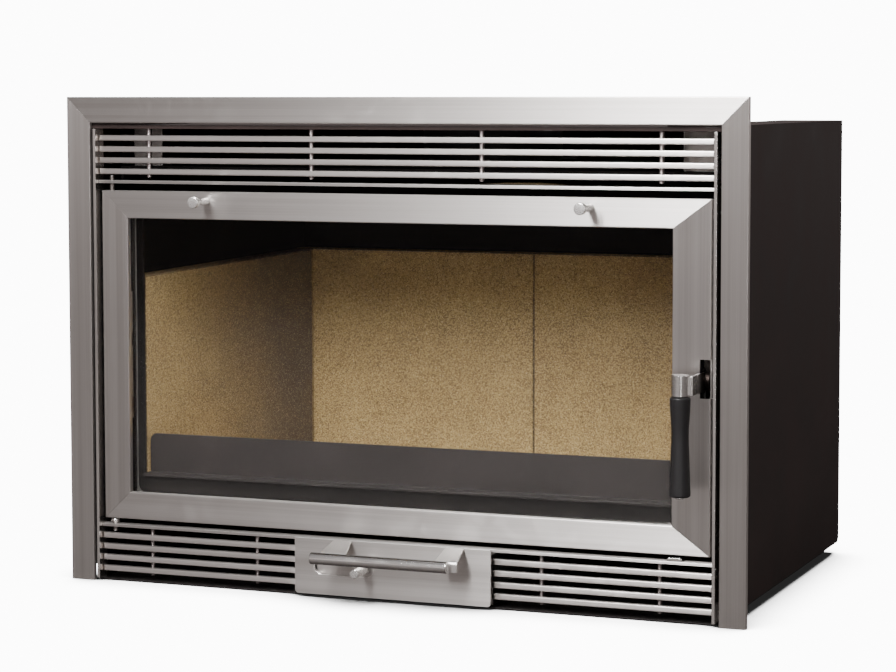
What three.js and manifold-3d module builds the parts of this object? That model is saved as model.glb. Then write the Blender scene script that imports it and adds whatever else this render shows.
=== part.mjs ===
// Wood-burning fireplace insert: trim frame, casing, glazed door, grilles, firebox and ash drawer.
// Millimetres. X runs to the right, Y to the rear from the trim's front face, Z up from the hearth.
import * as THREE from "three";
import { mergeVertices } from "three/addons/utils/BufferGeometryUtils.js";
import Module from "manifold-3d";

const wasm = await Module();
wasm.setup();

// ---------------------------------------------------------------- driving dimensions
const FIT = 0.3; // gap between pieces that touch
const RUN = 0.4; // side gap of pieces that slide past each other

const TRIM_WIDTH = 760;
const TRIM_HEIGHT = 526;
const TRIM_FACE = 28;
const TRIM_SHEET = 1.5;
const TRIM_OUTER_RETURN = 6;
const TRIM_INNER_RETURN = 5;

const CASING_DEPTH = 462.5;
const CASING_INSET = 15;
const CASING_SHEET = 1.5;
const CASING_TOP_FLANGE = 70;
const CASING_FOOT_FLANGE = 30;
const CASING_CORNER = 8;
const CASING_HEM = 2.6;
const CASING_HEM_DEPTH = 14;
const BACK_INSET = 2;
const BACK_FLANGE = 14;

const PAN_SHEET = 1.5;
const PAN_LIP = 12;
const PAN_FRONT = 8;

const SURROUND_PLATE = 3;
const SURROUND_DEPTH = 12;
const SURROUND_FRONT = 6;
const SURROUND_GAP = 4;
const SURROUND_FOOT = 3;
const UPPER_OPENING = 55.5;
const LOWER_OPENING = 56;

const BAR = 6;
const BAR_PITCH = 12;
const BAR_COUNT = 4;
const BAR_EDGE = 1.2;
const UPRIGHT_DIAMETER = 5.6;
const GRILLE_UPRIGHT = 287; // outer uprights of the grilles
const UPPER_MIDDLE_UPRIGHT = 95.5;
const LOWER_MIDDLE_UPRIGHT = 161;

const BOX_SHEET = 3;
const BOX_FRONT_PLATE = 4;
const BOX_CHEEK_TAIL = 16;
const WINDOW_SIDE = 36;
const WINDOW_SILL = 50.5;
const WINDOW_HEAD = 36;
const WINDOW_CORNER = 2;

const DOOR_SIDE_GAP = 4;
const DOOR_TOP_GAP = 8;
const DOOR_BOTTOM_GAP = 6.5;
const DOOR_DEPTH = 27;
const DOOR_SHEET = 2;
const DOOR_RAIL_FACE = 29.5;
const DOOR_HINGE_FACE = 31;
const DOOR_LATCH_FACE = 40;
const DOOR_RETURN = 8;
const DOOR_CORE_RIM = 23.7;
const GLASS_SETBACK = 7;
const GLASS_THICKNESS = 4;
const GLASS_OVERLAP = 6;
const CLIP_SHEET = 1.5;
const CLIP_LIP = 5;
const CLIP_FOOT = 7;
const CLIP_END = 160; // from a clip's end to the corner of the glass
const ROPE_WIDTH = 10;
const ROPE_DEPTH = 6.4;
const ROPE_INSET = 12;

const HINGE_DIAMETER = 5;
const HINGE_INSET = 9;
const HINGE_HOLD = 25;
const BEARING_DIAMETER = 11;
const REST_PAD_WIDTH = 16;
const REST_PAD_HEIGHT = 3.3;
const REST_PAD_INSET = 29;

const NOTCH_WIDTH = 11.5;
const NOTCH_HEIGHT = 39;
const LATCH_HEIGHT = 243.5; // pivot above the hearth
const LATCH_PIVOT_DEPTH = 13; // pivot behind the door's front face
const LEVER_PLATE = 3;
const LEVER_HEIGHT = 19;
const LEVER_BOSS = 19.5;
const LEVER_BOSS_WIDTH = 8;
const PIVOT_DIAMETER = 8;
const COLLAR_DIAMETER = 18.4;
const COLLAR_HEIGHT = 21.6;
const COLLAR_REACH = 36; // collar's axis in front of the door's face
const TANG_DIAMETER = 8;
const GRIP_DIAMETER = 21.3;
const GRIP_WAIST = 17.3;
const GRIP_LENGTH = 99;
const END_CAP_DIAMETER = 9;
const CATCH_PLATE = 3;
const CATCH_WIDTH = 17;
const CATCH_HEIGHT = 30;
const CATCH_GRIP = 6; // height of hook behind the catch
const NOSE_THICKNESS = 3.8;

const VALVE_SPREAD = 215;
const VALVE_DROP = 10;
const VALVE_KNOB_DIAMETER = 12;
const VALVE_KNOB_LENGTH = 28;
const VALVE_SPINDLE_DIAMETER = 6;
const VALVE_PLUG_DIAMETER = 9;
const VALVE_PLUG_LENGTH = 4.7;
const VALVE_PORT_DIAMETER = 7;

const FIREBOX_STEEL = 4;
const FIREBOX_TAPER = 39; // narrowing of each side from front to back
const FIREBOX_RISE = 4;
const REAR_AIR_GAP = 30;
const PLENUM_HEIGHT = 44;
const BRICK = 25;
const BRICK_BELOW_TOP = 120;
const BRICK_TOP_SLOPE = 11;
const BACK_BRICK_JOINT = 14;
const FLOOR_BRICK = 30;
const GRATE_WIDTH = 200;
const GRATE_DEPTH = 150;
const GRATE_THICKNESS = 10;
const GRATE_SETBACK = 80;
const GRATE_LEDGE = 8;
const GRATE_SLOTS = 9;
const GRATE_SLOT_WIDTH = 9;
const BAFFLE_BELOW_TOP = 58;
const BAFFLE_THICKNESS = 20;
const BAFFLE_FRONT = 66; // from the firebox front to the baffle's front edge
const RAIL_HEIGHT = 25;
const RAIL_LEDGE = 15;
const RAIL_SHEET = 3;
const GUARD_SHEET = 3;
const GUARD_HEIGHT = 45;
const GUARD_FLANGE = 20;
const GUARD_CORNER = 8;
const FLUE_DIAMETER = 158;
const FLUE_WALL = 4;
const FLUE_STAND = 26; // rim above the casing's top plate
const FLUE_FROM_REAR = 129;
const FLUE_FLANGE = 16;
const FLUE_FLANGE_THICKNESS = 5;
const FLUE_BEAD = 1.5;
const BRACKET_WIDTH = 34;
const BRACKET_INSET = 15;
const BRACKET_SHEET = 2;
const BRACKET_FOOT = 24;

const DRAWER_WIDTH = 221;
const DRAWER_PROUD = 7;
const DRAWER_CORNER = 4;
const PAN_WIDTH = 208;
const PAN_LENGTH = 296;
const PAN_HEIGHT = 50;
const ASH_SHEET = 1.5;
const RUNNER_HEIGHT = 18;
const RUNNER_FOOT = 14;
const AIR_SLOT_LENGTH = 68;
const AIR_SLOT_HEIGHT = 17.4;
const AIR_SLOT_LEFT = 88;
const AIR_SLOT_RISE = 30.3;
const AIR_TRAVEL = 50;
const SLIDER_WIDTH = 60;
const SLIDER_HEIGHT = 28;
const GUIDE_HEIGHT = 6;
const AIR_KNOB_DIAMETER = 10;
const AIR_KNOB_LENGTH = 25;
const AIR_STUD_DIAMETER = 6;
const AIR_PORT_WIDTH = 6;
const AIR_PORT_HEIGHT = 16;
const AIR_PORT_PITCH = 11;
const HANDLE_DIAMETER = 10.8;
const HANDLE_LENGTH = 165;
const HANDLE_REACH = 24;
const HANDLE_RISE = 44;
const STRAP_WIDTH = 24;
const STRAP_SPREAD = 126;
const STRAP_SHEET = 2;
const STRAP_FALL = 3.5;

// ---------------------------------------------------------------- places worked out from them
const trimHalf = TRIM_WIDTH / 2;
const trimInner = trimHalf - TRIM_FACE;
const trimInnerTop = TRIM_HEIGHT - TRIM_FACE;

const casingHalf = trimHalf - CASING_INSET;
const casingInner = casingHalf - CASING_SHEET;
const casingTop = trimInnerTop - FIT;
const topPlate = casingTop - CASING_SHEET - FIT;
const topUnder = topPlate - CASING_SHEET;
const hemUnder = topUnder - CASING_HEM;
const casingBottom = PAN_LIP + FIT;
const backFace = CASING_DEPTH - BACK_INSET;
const backFront = backFace - CASING_SHEET;

const surroundOuter = trimInner - SURROUND_GAP;
const surroundInner = surroundOuter - SURROUND_PLATE;
const surroundRear = SURROUND_FRONT + SURROUND_DEPTH;
const surroundTop = hemUnder - FIT;
const upperRail = surroundTop - UPPER_OPENING - SURROUND_PLATE;
const upperRailTop = upperRail + SURROUND_PLATE;
const lowerRail = SURROUND_FOOT + LOWER_OPENING;
const lowerRailTop = lowerRail + SURROUND_PLATE;

const doorHalf = surroundInner - DOOR_SIDE_GAP;
const doorTop = upperRail - DOOR_TOP_GAP;
const doorBottom = lowerRailTop + DOOR_BOTTOM_GAP;
const doorFront = SURROUND_FRONT;
const doorRear = doorFront + DOOR_DEPTH;
const view = {
  left: -doorHalf + DOOR_HINGE_FACE,
  right: doorHalf - DOOR_LATCH_FACE,
  bottom: doorBottom + DOOR_RAIL_FACE,
  top: doorTop - DOOR_RAIL_FACE,
};
const coreHalf = doorHalf - DOOR_SHEET - FIT;
const coreTop = doorTop - DOOR_SHEET - FIT;
const coreBottom = doorBottom + DOOR_SHEET + FIT;
const coreFront = doorFront + DOOR_SHEET + FIT;
const corePlateRear = coreFront + DOOR_SHEET;
const glassFront = doorFront + GLASS_SETBACK;
const glassRear = glassFront + GLASS_THICKNESS;

const plateFront = doorRear + ROPE_DEPTH + 2 * FIT;
const plateRear = plateFront + BOX_FRONT_PLATE;
const cheekRear = plateRear + BOX_CHEEK_TAIL;
const windowHalf = surroundInner - WINDOW_SIDE;
const windowBottom = lowerRailTop + WINDOW_SILL;
const windowTop = upperRail - WINDOW_HEAD;

const fireboxFront = plateRear + FIT;
const fireboxRear = backFront - REAR_AIR_GAP;
const fireboxTop = topUnder - PLENUM_HEIGHT;
const fireboxBottom = lowerRailTop + FIREBOX_RISE;
const steelRear = fireboxRear - FIREBOX_STEEL;
const steelRoof = fireboxTop - FIREBOX_STEEL;
const steelFloor = fireboxBottom + FIREBOX_STEEL;
const backBrickFront = steelRear - FIT - BRICK;
const flueY = fireboxRear - FLUE_FROM_REAR;
const grateY = fireboxFront + GRATE_SETBACK + GRATE_DEPTH / 2;

const hingeX = -doorHalf + HINGE_INSET;
const hingeY = corePlateRear + FIT + HINGE_DIAMETER / 2;

const pivotY = doorFront + LATCH_PIVOT_DEPTH;
const notchLeft = doorHalf - NOTCH_WIDTH;
const leverLeft = notchLeft + RUN;
const leverRight = leverLeft + LEVER_PLATE;
const collarX = leverLeft - COLLAR_DIAMETER / 2 - RUN;
const collarY = doorFront - COLLAR_REACH;
const collarBottom = LATCH_HEIGHT - COLLAR_HEIGHT / 2;
const gripTop = collarBottom - FIT;
const gripBottom = gripTop - GRIP_LENGTH;
const catchFront = doorRear - CATCH_PLATE;
const catchBottom = LATCH_HEIGHT + 2.5;
const noseFront = doorRear + 2 * FIT;

const drawerFront = SURROUND_FRONT - DRAWER_PROUD;
const drawerRear = drawerFront + SURROUND_PLATE;
const drawerTop = lowerRailTop + FIT;
const drawerHalf = DRAWER_WIDTH / 2;
const panHalf = PAN_WIDTH / 2;
const sliderFront = drawerRear + FIT;
const ashFront = sliderFront + ASH_SHEET + FIT;
const ashBottom = PAN_SHEET + ASH_SHEET + 2 * FIT;
const ashTop = ashBottom + PAN_HEIGHT;
const slotZ = SURROUND_FOOT + AIR_SLOT_RISE;
const slotX = -AIR_SLOT_LEFT + AIR_SLOT_LENGTH / 2;
const airKnobX = slotX + AIR_TRAVEL / 2;
const handleY = drawerFront - HANDLE_REACH;
const handleZ = SURROUND_FOOT + HANDLE_RISE;

// ---------------------------------------------------------------- outlines
function rect(u0, u1, v0, v1) {
  return [[u0, v0], [u1, v0], [u1, v1], [u0, v1]];
}

function arc(u, v, radius, from, to, steps) {
  return Array.from({ length: steps + 1 }, (_, i) => {
    const angle = THREE.MathUtils.degToRad(from + ((to - from) * i) / steps);
    return [u + radius * Math.cos(angle), v + radius * Math.sin(angle)];
  });
}

function circle(u, v, radius, steps = 48) {
  return arc(u, v, radius, 0, 360, steps).slice(0, -1);
}

// A rectangle with round corners; radii run bottom left, bottom right, top right, top left.
function rounded(u0, u1, v0, v1, radii, steps = 5) {
  const [bl, br, tr, tl] = Array.isArray(radii) ? radii : [radii, radii, radii, radii];
  const corner = (u, v, radius, from) => (radius > 0 ? arc(u, v, radius, from, from + 90, steps) : [[u, v]]);
  return [
    ...corner(u0 + bl, v0 + bl, bl, 180),
    ...corner(u1 - br, v0 + br, br, 270),
    ...corner(u1 - tr, v1 - tr, tr, 0),
    ...corner(u0 + tl, v1 - tl, tl, 90),
  ];
}

function pill(u0, u1, v, height, steps = 10) {
  const r = height / 2;
  return [...arc(u1 - r, v, r, -90, 90, steps), ...arc(u0 + r, v, r, 90, 270, steps)];
}

// Two lengths measured outward from the middle, as a sorted span on the left (-1) or right (1) side.
function span(side, inner, outer) {
  return side < 0 ? [-outer, -inner] : [inner, outer];
}

// ---------------------------------------------------------------- solids
function solid(geometry) {
  geometry.deleteAttribute("normal");
  geometry.deleteAttribute("uv");
  const welded = mergeVertices(geometry, 1e-4);
  return new wasm.Manifold(
    new wasm.Mesh({
      numProp: 3,
      vertProperties: Float32Array.from(welded.attributes.position.array),
      triVerts: Uint32Array.from(welded.index.array),
    }),
  );
}

const X = new THREE.Vector3(1, 0, 0);
const Y = new THREE.Vector3(0, 1, 0);
const Z = new THREE.Vector3(0, 0, 1);
const DRAWN_ON = {
  x: new THREE.Matrix4().makeBasis(Y, Z, X), // outline in Y and Z
  y: new THREE.Matrix4().makeBasis(X, Z, Y.clone().negate()), // outline in X and Z
  z: new THREE.Matrix4(), // outline in X and Y
};

// An outline drawn across one axis and extruded along it.
function prism(axis, outline, from, to) {
  const shape = new THREE.Shape(outline.map(([u, v]) => new THREE.Vector2(u, v)));
  const geometry = new THREE.ExtrudeGeometry(shape, { depth: to - from, bevelEnabled: false });
  geometry.translate(0, 0, axis === "y" ? -to : from);
  geometry.applyMatrix4(DRAWN_ON[axis]);
  return solid(geometry);
}

function block([x0, x1], [y0, y1], [z0, z1]) {
  return prism("z", rect(x0, x1, y0, y1), z0, z1);
}

function rod(axis, u, v, diameter, from, to, steps = 32) {
  return prism(axis, circle(u, v, diameter / 2, steps), from, to);
}

// A profile of [radius, height] points turned round an axis through (u, v). Heights run up from the base
// on a Z axis, and forward from it on a Y axis.
function turned(axis, u, v, base, profile, steps = 48) {
  const points = profile.map(([radius, height]) => new THREE.Vector2(radius, height));
  const geometry = new THREE.LatheGeometry(points, steps);
  geometry.rotateX(Math.PI / 2);
  geometry.translate(u, v, axis === "y" ? -base : base);
  geometry.applyMatrix4(DRAWN_ON[axis]);
  return solid(geometry);
}

function cut(body, ...tools) {
  return tools.reduce((rest, tool) => rest.subtract(tool), body);
}

function fuse(first, ...others) {
  return others.reduce((sum, other) => sum.add(other), first);
}

// ---------------------------------------------------------------- trim frame
// Channel section with its web to the front: [outward offset from the trim's inner edge, depth].
function trimSection() {
  return [
    [0, 0],
    [TRIM_FACE, 0],
    [TRIM_FACE, TRIM_OUTER_RETURN],
    [TRIM_FACE - TRIM_SHEET, TRIM_OUTER_RETURN],
    [TRIM_FACE - TRIM_SHEET, TRIM_SHEET],
    [TRIM_SHEET, TRIM_SHEET],
    [TRIM_SHEET, TRIM_INNER_RETURN],
    [0, TRIM_INNER_RETURN],
  ];
}

function trimTop() {
  const miter = FIT / Math.SQRT2;
  const section = trimSection().map(([out, depth]) => [depth, trimInnerTop + out]);
  const face = [
    [-trimInner + miter, trimInnerTop],
    [trimInner - miter, trimInnerTop],
    [trimHalf - miter, TRIM_HEIGHT],
    [-trimHalf + miter, TRIM_HEIGHT],
  ];
  return prism("x", section, -trimHalf, trimHalf).intersect(prism("y", face, -1, TRIM_OUTER_RETURN + 1));
}

function trimLeg(side) {
  const miter = FIT / Math.SQRT2;
  const section = trimSection().map(([out, depth]) => [side * (trimInner + out), depth]);
  const face = [
    [side * trimInner, 0],
    [side * trimHalf, 0],
    [side * trimHalf, TRIM_HEIGHT - miter],
    [side * trimInner, trimInnerTop - miter],
  ];
  return prism("z", section, 0, TRIM_HEIGHT).intersect(prism("y", face, -1, TRIM_OUTER_RETURN + 1));
}

// ---------------------------------------------------------------- casing
function casingSide(side) {
  const sheet = rounded(
    TRIM_SHEET + FIT, CASING_DEPTH, casingBottom, casingTop, [0, CASING_CORNER, CASING_SHEET, 0],
  );
  const topFlange = block(
    span(side, casingHalf - CASING_TOP_FLANGE, casingInner + FIT),
    [TRIM_INNER_RETURN + FIT, CASING_DEPTH - CASING_SHEET],
    [casingTop - CASING_SHEET, casingTop],
  );
  const footFlange = block(
    span(side, casingHalf - CASING_FOOT_FLANGE, casingInner + FIT),
    [cheekRear + BOX_SHEET, backFace - BACK_FLANGE - FIT],
    [casingBottom, casingBottom + CASING_SHEET],
  );
  return fuse(prism("x", sheet, ...span(side, casingInner, casingHalf)), topFlange, footFlange);
}

// Plate under the two top flanges, its front edge folded into a hem that closes the front.
function casingTopPlate() {
  const section = [
    [SURROUND_FRONT, hemUnder],
    [SURROUND_FRONT + CASING_HEM_DEPTH, hemUnder],
    [SURROUND_FRONT + CASING_HEM_DEPTH, hemUnder + CASING_SHEET],
    [SURROUND_FRONT + CASING_SHEET, hemUnder + CASING_SHEET],
    [SURROUND_FRONT + CASING_SHEET, topUnder],
    [backFace, topUnder],
    [backFace, topPlate],
    [SURROUND_FRONT, topPlate],
  ];
  const half = casingInner - FIT;
  const hole = rod("z", 0, flueY, FLUE_DIAMETER + 4 * BRACKET_SHEET, topUnder - 1, topPlate + 1, 64);
  return cut(prism("x", section, -half, half), hole);
}

// Shallow tray open to the front, standing on the base pan's rear lip.
function casingBack() {
  const half = casingInner - FIT;
  const top = topUnder - FIT;
  const flangeFront = backFace - BACK_FLANGE;
  const tray = block([-half, half], [flangeFront, backFace], [casingBottom, top]);
  const inside = block(
    [-half + CASING_SHEET, half - CASING_SHEET],
    [flangeFront - 1, backFront],
    [casingBottom + CASING_SHEET, top - CASING_SHEET],
  );
  return cut(tray, inside);
}

function basePan() {
  const inner = surroundOuter + FIT;
  const half = inner + PAN_SHEET;
  const rear = backFront - PAN_SHEET - FIT;
  const lipFront = cheekRear + BOX_SHEET;
  const floor = block([-half, half], [PAN_FRONT, rear], [0, PAN_SHEET]);
  const lips = prism("z", rect(-half, half, lipFront, rear), PAN_SHEET / 2, PAN_LIP);
  const room = block([-inner, inner], [lipFront - 1, rear - PAN_SHEET], [0, PAN_LIP + 1]);
  return fuse(floor, cut(lips, room));
}

// ---------------------------------------------------------------- surround
function surroundStrip(side) {
  return block(
    span(side, surroundInner, surroundOuter),
    [SURROUND_FRONT, surroundRear],
    [SURROUND_FOOT, surroundTop],
  );
}

function surroundRail(underside) {
  const half = surroundInner - FIT;
  const rail = block([-half, half], [SURROUND_FRONT, surroundRear], [underside, underside + SURROUND_PLATE]);
  return cut(rail, hingeHole(underside - 1, underside + SURROUND_PLATE + 1));
}

function doorRestPad() {
  const right = doorHalf - REST_PAD_INSET + FIT;
  const z0 = lowerRailTop + FIT;
  const z1 = z0 + REST_PAD_HEIGHT;
  const slope = REST_PAD_HEIGHT / 2;
  const outline = [
    [right - REST_PAD_WIDTH, z0],
    [right, z0],
    [right, z1 - slope],
    [right - slope, z1],
    [right - REST_PAD_WIDTH + slope, z1],
    [right - REST_PAD_WIDTH, z1 - slope],
  ];
  return prism("y", outline, SURROUND_FRONT, surroundRear);
}

// ---------------------------------------------------------------- grilles
function barHeights(bottom, opening) {
  const middle = bottom + opening / 2;
  return Array.from({ length: BAR_COUNT }, (_, i) => middle + (i - (BAR_COUNT - 1) / 2) * BAR_PITCH);
}

const upperBars = barHeights(upperRailTop, UPPER_OPENING);
const lowerBars = barHeights(SURROUND_FOOT, LOWER_OPENING);
const pinTop = upperBars[0] - BAR / 2 - FIT * 5;
const pinBottom = lowerBars[BAR_COUNT - 1] + BAR / 2 + FIT * 5;

// Flat bars with eased edges and round ends on round uprights that stand against them behind.
function grille(left, right, heights, uprights, foot, head) {
  const section = (z) => rounded(
    SURROUND_FRONT, SURROUND_FRONT + BAR, z - BAR / 2, z + BAR / 2, BAR_EDGE, 3,
  );
  const plan = rounded(left, right, SURROUND_FRONT, SURROUND_FRONT + BAR, [BAR / 2, BAR / 2, 0, 0]);
  const bars = heights.map((z) => prism("x", section(z), left, right));
  const rods = uprights.map((x) => rod(
    "z", x, SURROUND_FRONT + BAR + UPRIGHT_DIAMETER / 2 - 2 * FIT, UPRIGHT_DIAMETER, foot, head, 24,
  ));
  const ends = prism("z", plan, foot, head);
  return fuse(fuse(...bars).intersect(ends), ...rods);
}

function upperGrille() {
  const half = surroundInner - FIT;
  const uprights = [-GRILLE_UPRIGHT, -UPPER_MIDDLE_UPRIGHT, UPPER_MIDDLE_UPRIGHT, GRILLE_UPRIGHT];
  return grille(-half, half, upperBars, uprights, upperBars[0] - BAR, surroundTop);
}

function lowerGrille(side) {
  const [left, right] = span(side, drawerHalf + BAR, surroundInner - FIT);
  const uprights = [side * LOWER_MIDDLE_UPRIGHT, side * GRILLE_UPRIGHT];
  return grille(left, right, lowerBars, uprights, lowerBars[0] - BAR, lowerRail - FIT);
}

// ---------------------------------------------------------------- black box behind the surround
function frontBox() {
  const z0 = PAN_SHEET + FIT;
  const rear = [surroundRear + FIT, plateRear];
  const shelf = (underside) => block(
    [-surroundInner, surroundInner], rear, [underside + FIT, underside + SURROUND_PLATE - FIT],
  );
  const cheek = (side) => fuse(
    block(span(side, surroundInner, surroundOuter), [surroundRear + FIT, cheekRear], [z0, surroundTop]),
    block(
      span(side, surroundInner, casingInner - FIT),
      [cheekRear - BOX_SHEET, cheekRear],
      [PAN_LIP + 2, surroundTop],
    ),
  );
  const plate = block(
    [-surroundInner, surroundInner], [plateFront, plateRear], [lowerRail + FIT, upperRail + FIT + 1],
  );
  const opening = rounded(-windowHalf, windowHalf, windowBottom, windowTop, WINDOW_CORNER);
  const hole = prism("y", opening, plateFront - 1, plateRear + 1);
  return fuse(cut(plate, hole), shelf(lowerRail), shelf(upperRail), cheek(-1), cheek(1));
}

// ---------------------------------------------------------------- firebox
// Half width of the lining's inner face at a depth y.
function liningHalf(y) {
  return windowHalf - (FIREBOX_TAPER * (y - fireboxFront)) / (backBrickFront - fireboxFront);
}

// Plan of a band that follows the tapering side, from one offset outside the lining to another.
function sideBand(side, from, to, y0, y1) {
  return [
    [side * (liningHalf(y0) + from), y0],
    [side * (liningHalf(y0) + to), y0],
    [side * (liningHalf(y1) + to), y1],
    [side * (liningHalf(y1) + from), y1],
  ];
}

// Plan of the whole width between the two sides.
function fullPlan(offset, y0, y1) {
  const front = liningHalf(y0) + offset;
  const back = liningHalf(y1) + offset;
  return [[-front, y0], [front, y0], [back, y1], [-back, y1]];
}

const steelInner = BRICK + FIT; // inner face of the steel outside the lining's face
const steelOuter = steelInner + FIREBOX_STEEL;

function fireboxShell() {
  const outside = prism("z", fullPlan(steelOuter, fireboxFront, fireboxRear), fireboxBottom, fireboxTop);
  const inside = prism("z", fullPlan(steelInner, fireboxFront - 1, steelRear), steelFloor, steelRoof);
  const flue = rod("z", 0, flueY, FLUE_DIAMETER - 2 * FLUE_WALL, steelRoof - 1, fireboxTop + 1, 64);
  const shell = cut(outside, inside, flue, grateOpening(fireboxBottom - 1, steelFloor + 1));
  return fuse(shell, baffleRail(-1), baffleRail(1));
}

function grateOpening(from, to) {
  const halfWidth = GRATE_WIDTH / 2 - GRATE_LEDGE;
  const halfDepth = GRATE_DEPTH / 2 - GRATE_LEDGE;
  return block([-halfWidth, halfWidth], [grateY - halfDepth, grateY + halfDepth], [from, to]);
}

function grateSeat() {
  const halfWidth = GRATE_WIDTH / 2 + FIT;
  const halfDepth = GRATE_DEPTH / 2 + FIT;
  const top = steelFloor + FIT + FLOOR_BRICK;
  return block(
    [-halfWidth, halfWidth],
    [grateY - halfDepth, grateY + halfDepth],
    [top - GRATE_THICKNESS - FIT, top + 1],
  );
}

function sideBrick(side) {
  const plan = sideBand(side, 0, BRICK, fireboxFront, backBrickFront - FIT);
  const low = fireboxTop - BRICK_BELOW_TOP;
  const top = [
    [fireboxFront - 1, steelFloor + FIT],
    [fireboxRear, steelFloor + FIT],
    [fireboxRear, low + BRICK_TOP_SLOPE],
    [fireboxFront - 1, low],
  ];
  const width = windowHalf + 2 * BRICK;
  return prism("z", plan, fireboxBottom, fireboxTop).intersect(prism("x", top, -width, width));
}

function backBrick(side) {
  const plan = fullPlan(BRICK, backBrickFront, steelRear - FIT);
  const half = FIT / 2;
  const cutter = side < 0
    ? rect(-2 * windowHalf, BACK_BRICK_JOINT - half, backBrickFront - 1, steelRear)
    : rect(BACK_BRICK_JOINT + half, 2 * windowHalf, backBrickFront - 1, steelRear);
  const z0 = steelFloor + FIT;
  const z1 = fireboxTop - BRICK_BELOW_TOP + BRICK_TOP_SLOPE;
  return prism("z", plan, z0, z1).intersect(prism("z", cutter, z0 - 1, z1 + 1));
}

function floorBrick() {
  const z0 = steelFloor + FIT;
  const z1 = z0 + FLOOR_BRICK;
  const plan = fullPlan(-FIT, fireboxFront, backBrickFront - FIT);
  return cut(prism("z", plan, z0, z1), grateOpening(z0 - 1, z1 + 1), grateSeat());
}

function grate() {
  const top = steelFloor + FIT + FLOOR_BRICK;
  const z0 = top - GRATE_THICKNESS;
  const plate = prism(
    "z",
    rounded(-GRATE_WIDTH / 2, GRATE_WIDTH / 2, grateY - GRATE_DEPTH / 2, grateY + GRATE_DEPTH / 2, 3),
    z0,
    top,
  );
  const pitch = (GRATE_WIDTH - 2 * GRATE_LEDGE) / GRATE_SLOTS;
  const halfSlot = GRATE_DEPTH / 2 - 2 * GRATE_LEDGE;
  const slots = Array.from({ length: GRATE_SLOTS }, (_, i) => {
    const x = (i - (GRATE_SLOTS - 1) / 2) * pitch;
    const outline = rounded(
      x - GRATE_SLOT_WIDTH / 2, x + GRATE_SLOT_WIDTH / 2, grateY - halfSlot, grateY + halfSlot,
      GRATE_SLOT_WIDTH / 2 - 0.01, 4,
    );
    return prism("z", outline, z0 - 1, top + 1);
  });
  return cut(plate, ...slots);
}

// Side view of a strip that climbs to the rear as the baffle does.
function climbing(bottom, top, y0, y1) {
  const rise = (y) => (BRICK_TOP_SLOPE * (y - fireboxFront)) / (fireboxRear - fireboxFront);
  return [[y0, bottom + rise(y0)], [y1, bottom + rise(y1)], [y1, top + rise(y1)], [y0, top + rise(y0)]];
}

// Angle welded to the shell's side, its ledge under the baffle.
function baffleRail(side) {
  const top = fireboxTop - BAFFLE_BELOW_TOP;
  const y0 = fireboxFront + BOX_CHEEK_TAIL;
  const y1 = steelRear - FIT;
  const width = windowHalf + 2 * BRICK;
  const web = prism("x", climbing(top - RAIL_HEIGHT, top, y0, y1), -width, width);
  const ledge = prism("x", climbing(top - RAIL_SHEET, top, y0, y1), -width, width);
  const weld = steelInner + FIREBOX_STEEL / 2;
  const webPlan = sideBand(side, steelInner - RAIL_SHEET, weld, y0, y1);
  const ledgePlan = sideBand(side, steelInner - RAIL_LEDGE, weld, y0, y1);
  return fuse(
    web.intersect(prism("z", webPlan, fireboxBottom, fireboxTop)),
    ledge.intersect(prism("z", ledgePlan, fireboxBottom, fireboxTop)),
  );
}

function baffle() {
  const bottom = fireboxTop - BAFFLE_BELOW_TOP + FIT;
  const y0 = fireboxFront + BAFFLE_FRONT;
  const y1 = steelRear - FIT;
  const width = windowHalf + 2 * BRICK;
  const plate = prism("x", climbing(bottom, bottom + BAFFLE_THICKNESS, y0, y1), -width, width);
  return plate.intersect(prism("z", fullPlan(BRICK, y0, y1), fireboxBottom, fireboxTop));
}

function logGuard() {
  const y1 = plateRear + 2 * GUARD_SHEET;
  const half = windowHalf - GUARD_SHEET;
  const z0 = windowBottom + FIT;
  const section = [
    [y1 - GUARD_FLANGE, z0],
    [y1, z0],
    [y1, z0 + GUARD_HEIGHT],
    [y1 - GUARD_SHEET, z0 + GUARD_HEIGHT],
    [y1 - GUARD_SHEET, z0 + GUARD_SHEET],
    [y1 - GUARD_FLANGE, z0 + GUARD_SHEET],
  ];
  const face = rounded(-half, half, z0, z0 + GUARD_HEIGHT, [0, 0, GUARD_CORNER, GUARD_CORNER]);
  return prism("x", section, -half, half).intersect(prism("y", face, y1 - GUARD_FLANGE - 1, y1 + 1));
}

// Spigot with a bolted flange below and a rolled bead near its rim.
function flueCollar() {
  const outer = FLUE_DIAMETER / 2;
  const inner = outer - FLUE_WALL;
  const height = topPlate + FLUE_STAND - fireboxTop - FIT;
  const bead = height - 6 * FLUE_BEAD;
  const profile = [
    [inner, 0],
    [outer + FLUE_FLANGE, 0],
    [outer + FLUE_FLANGE, FLUE_FLANGE_THICKNESS],
    [outer, FLUE_FLANGE_THICKNESS],
    ...arc(outer, bead, FLUE_BEAD, -90, 90, 6),
    [outer, height - 1],
    [outer - 1, height],
    [inner, height],
    [inner, 0],
  ];
  return turned("z", 0, flueY, fireboxTop + FIT, profile, 64);
}

// Z bracket from the firebox roof up to the casing's top plate.
function plenumBracket(side) {
  const z0 = fireboxTop + FIT;
  const z1 = topUnder - FIT;
  const y0 = cheekRear + FIT;
  const section = [
    [y0, z0],
    [y0 + BRACKET_FOOT, z0],
    [y0 + BRACKET_FOOT, z0 + BRACKET_SHEET],
    [y0 + BRACKET_SHEET, z0 + BRACKET_SHEET],
    [y0 + BRACKET_SHEET, z1 - BRACKET_SHEET],
    [y0 + BRACKET_FOOT, z1 - BRACKET_SHEET],
    [y0 + BRACKET_FOOT, z1],
    [y0, z1],
  ];
  const outer = surroundInner - BRACKET_INSET;
  return prism("x", section, ...span(side, outer - BRACKET_WIDTH, outer));
}

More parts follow.
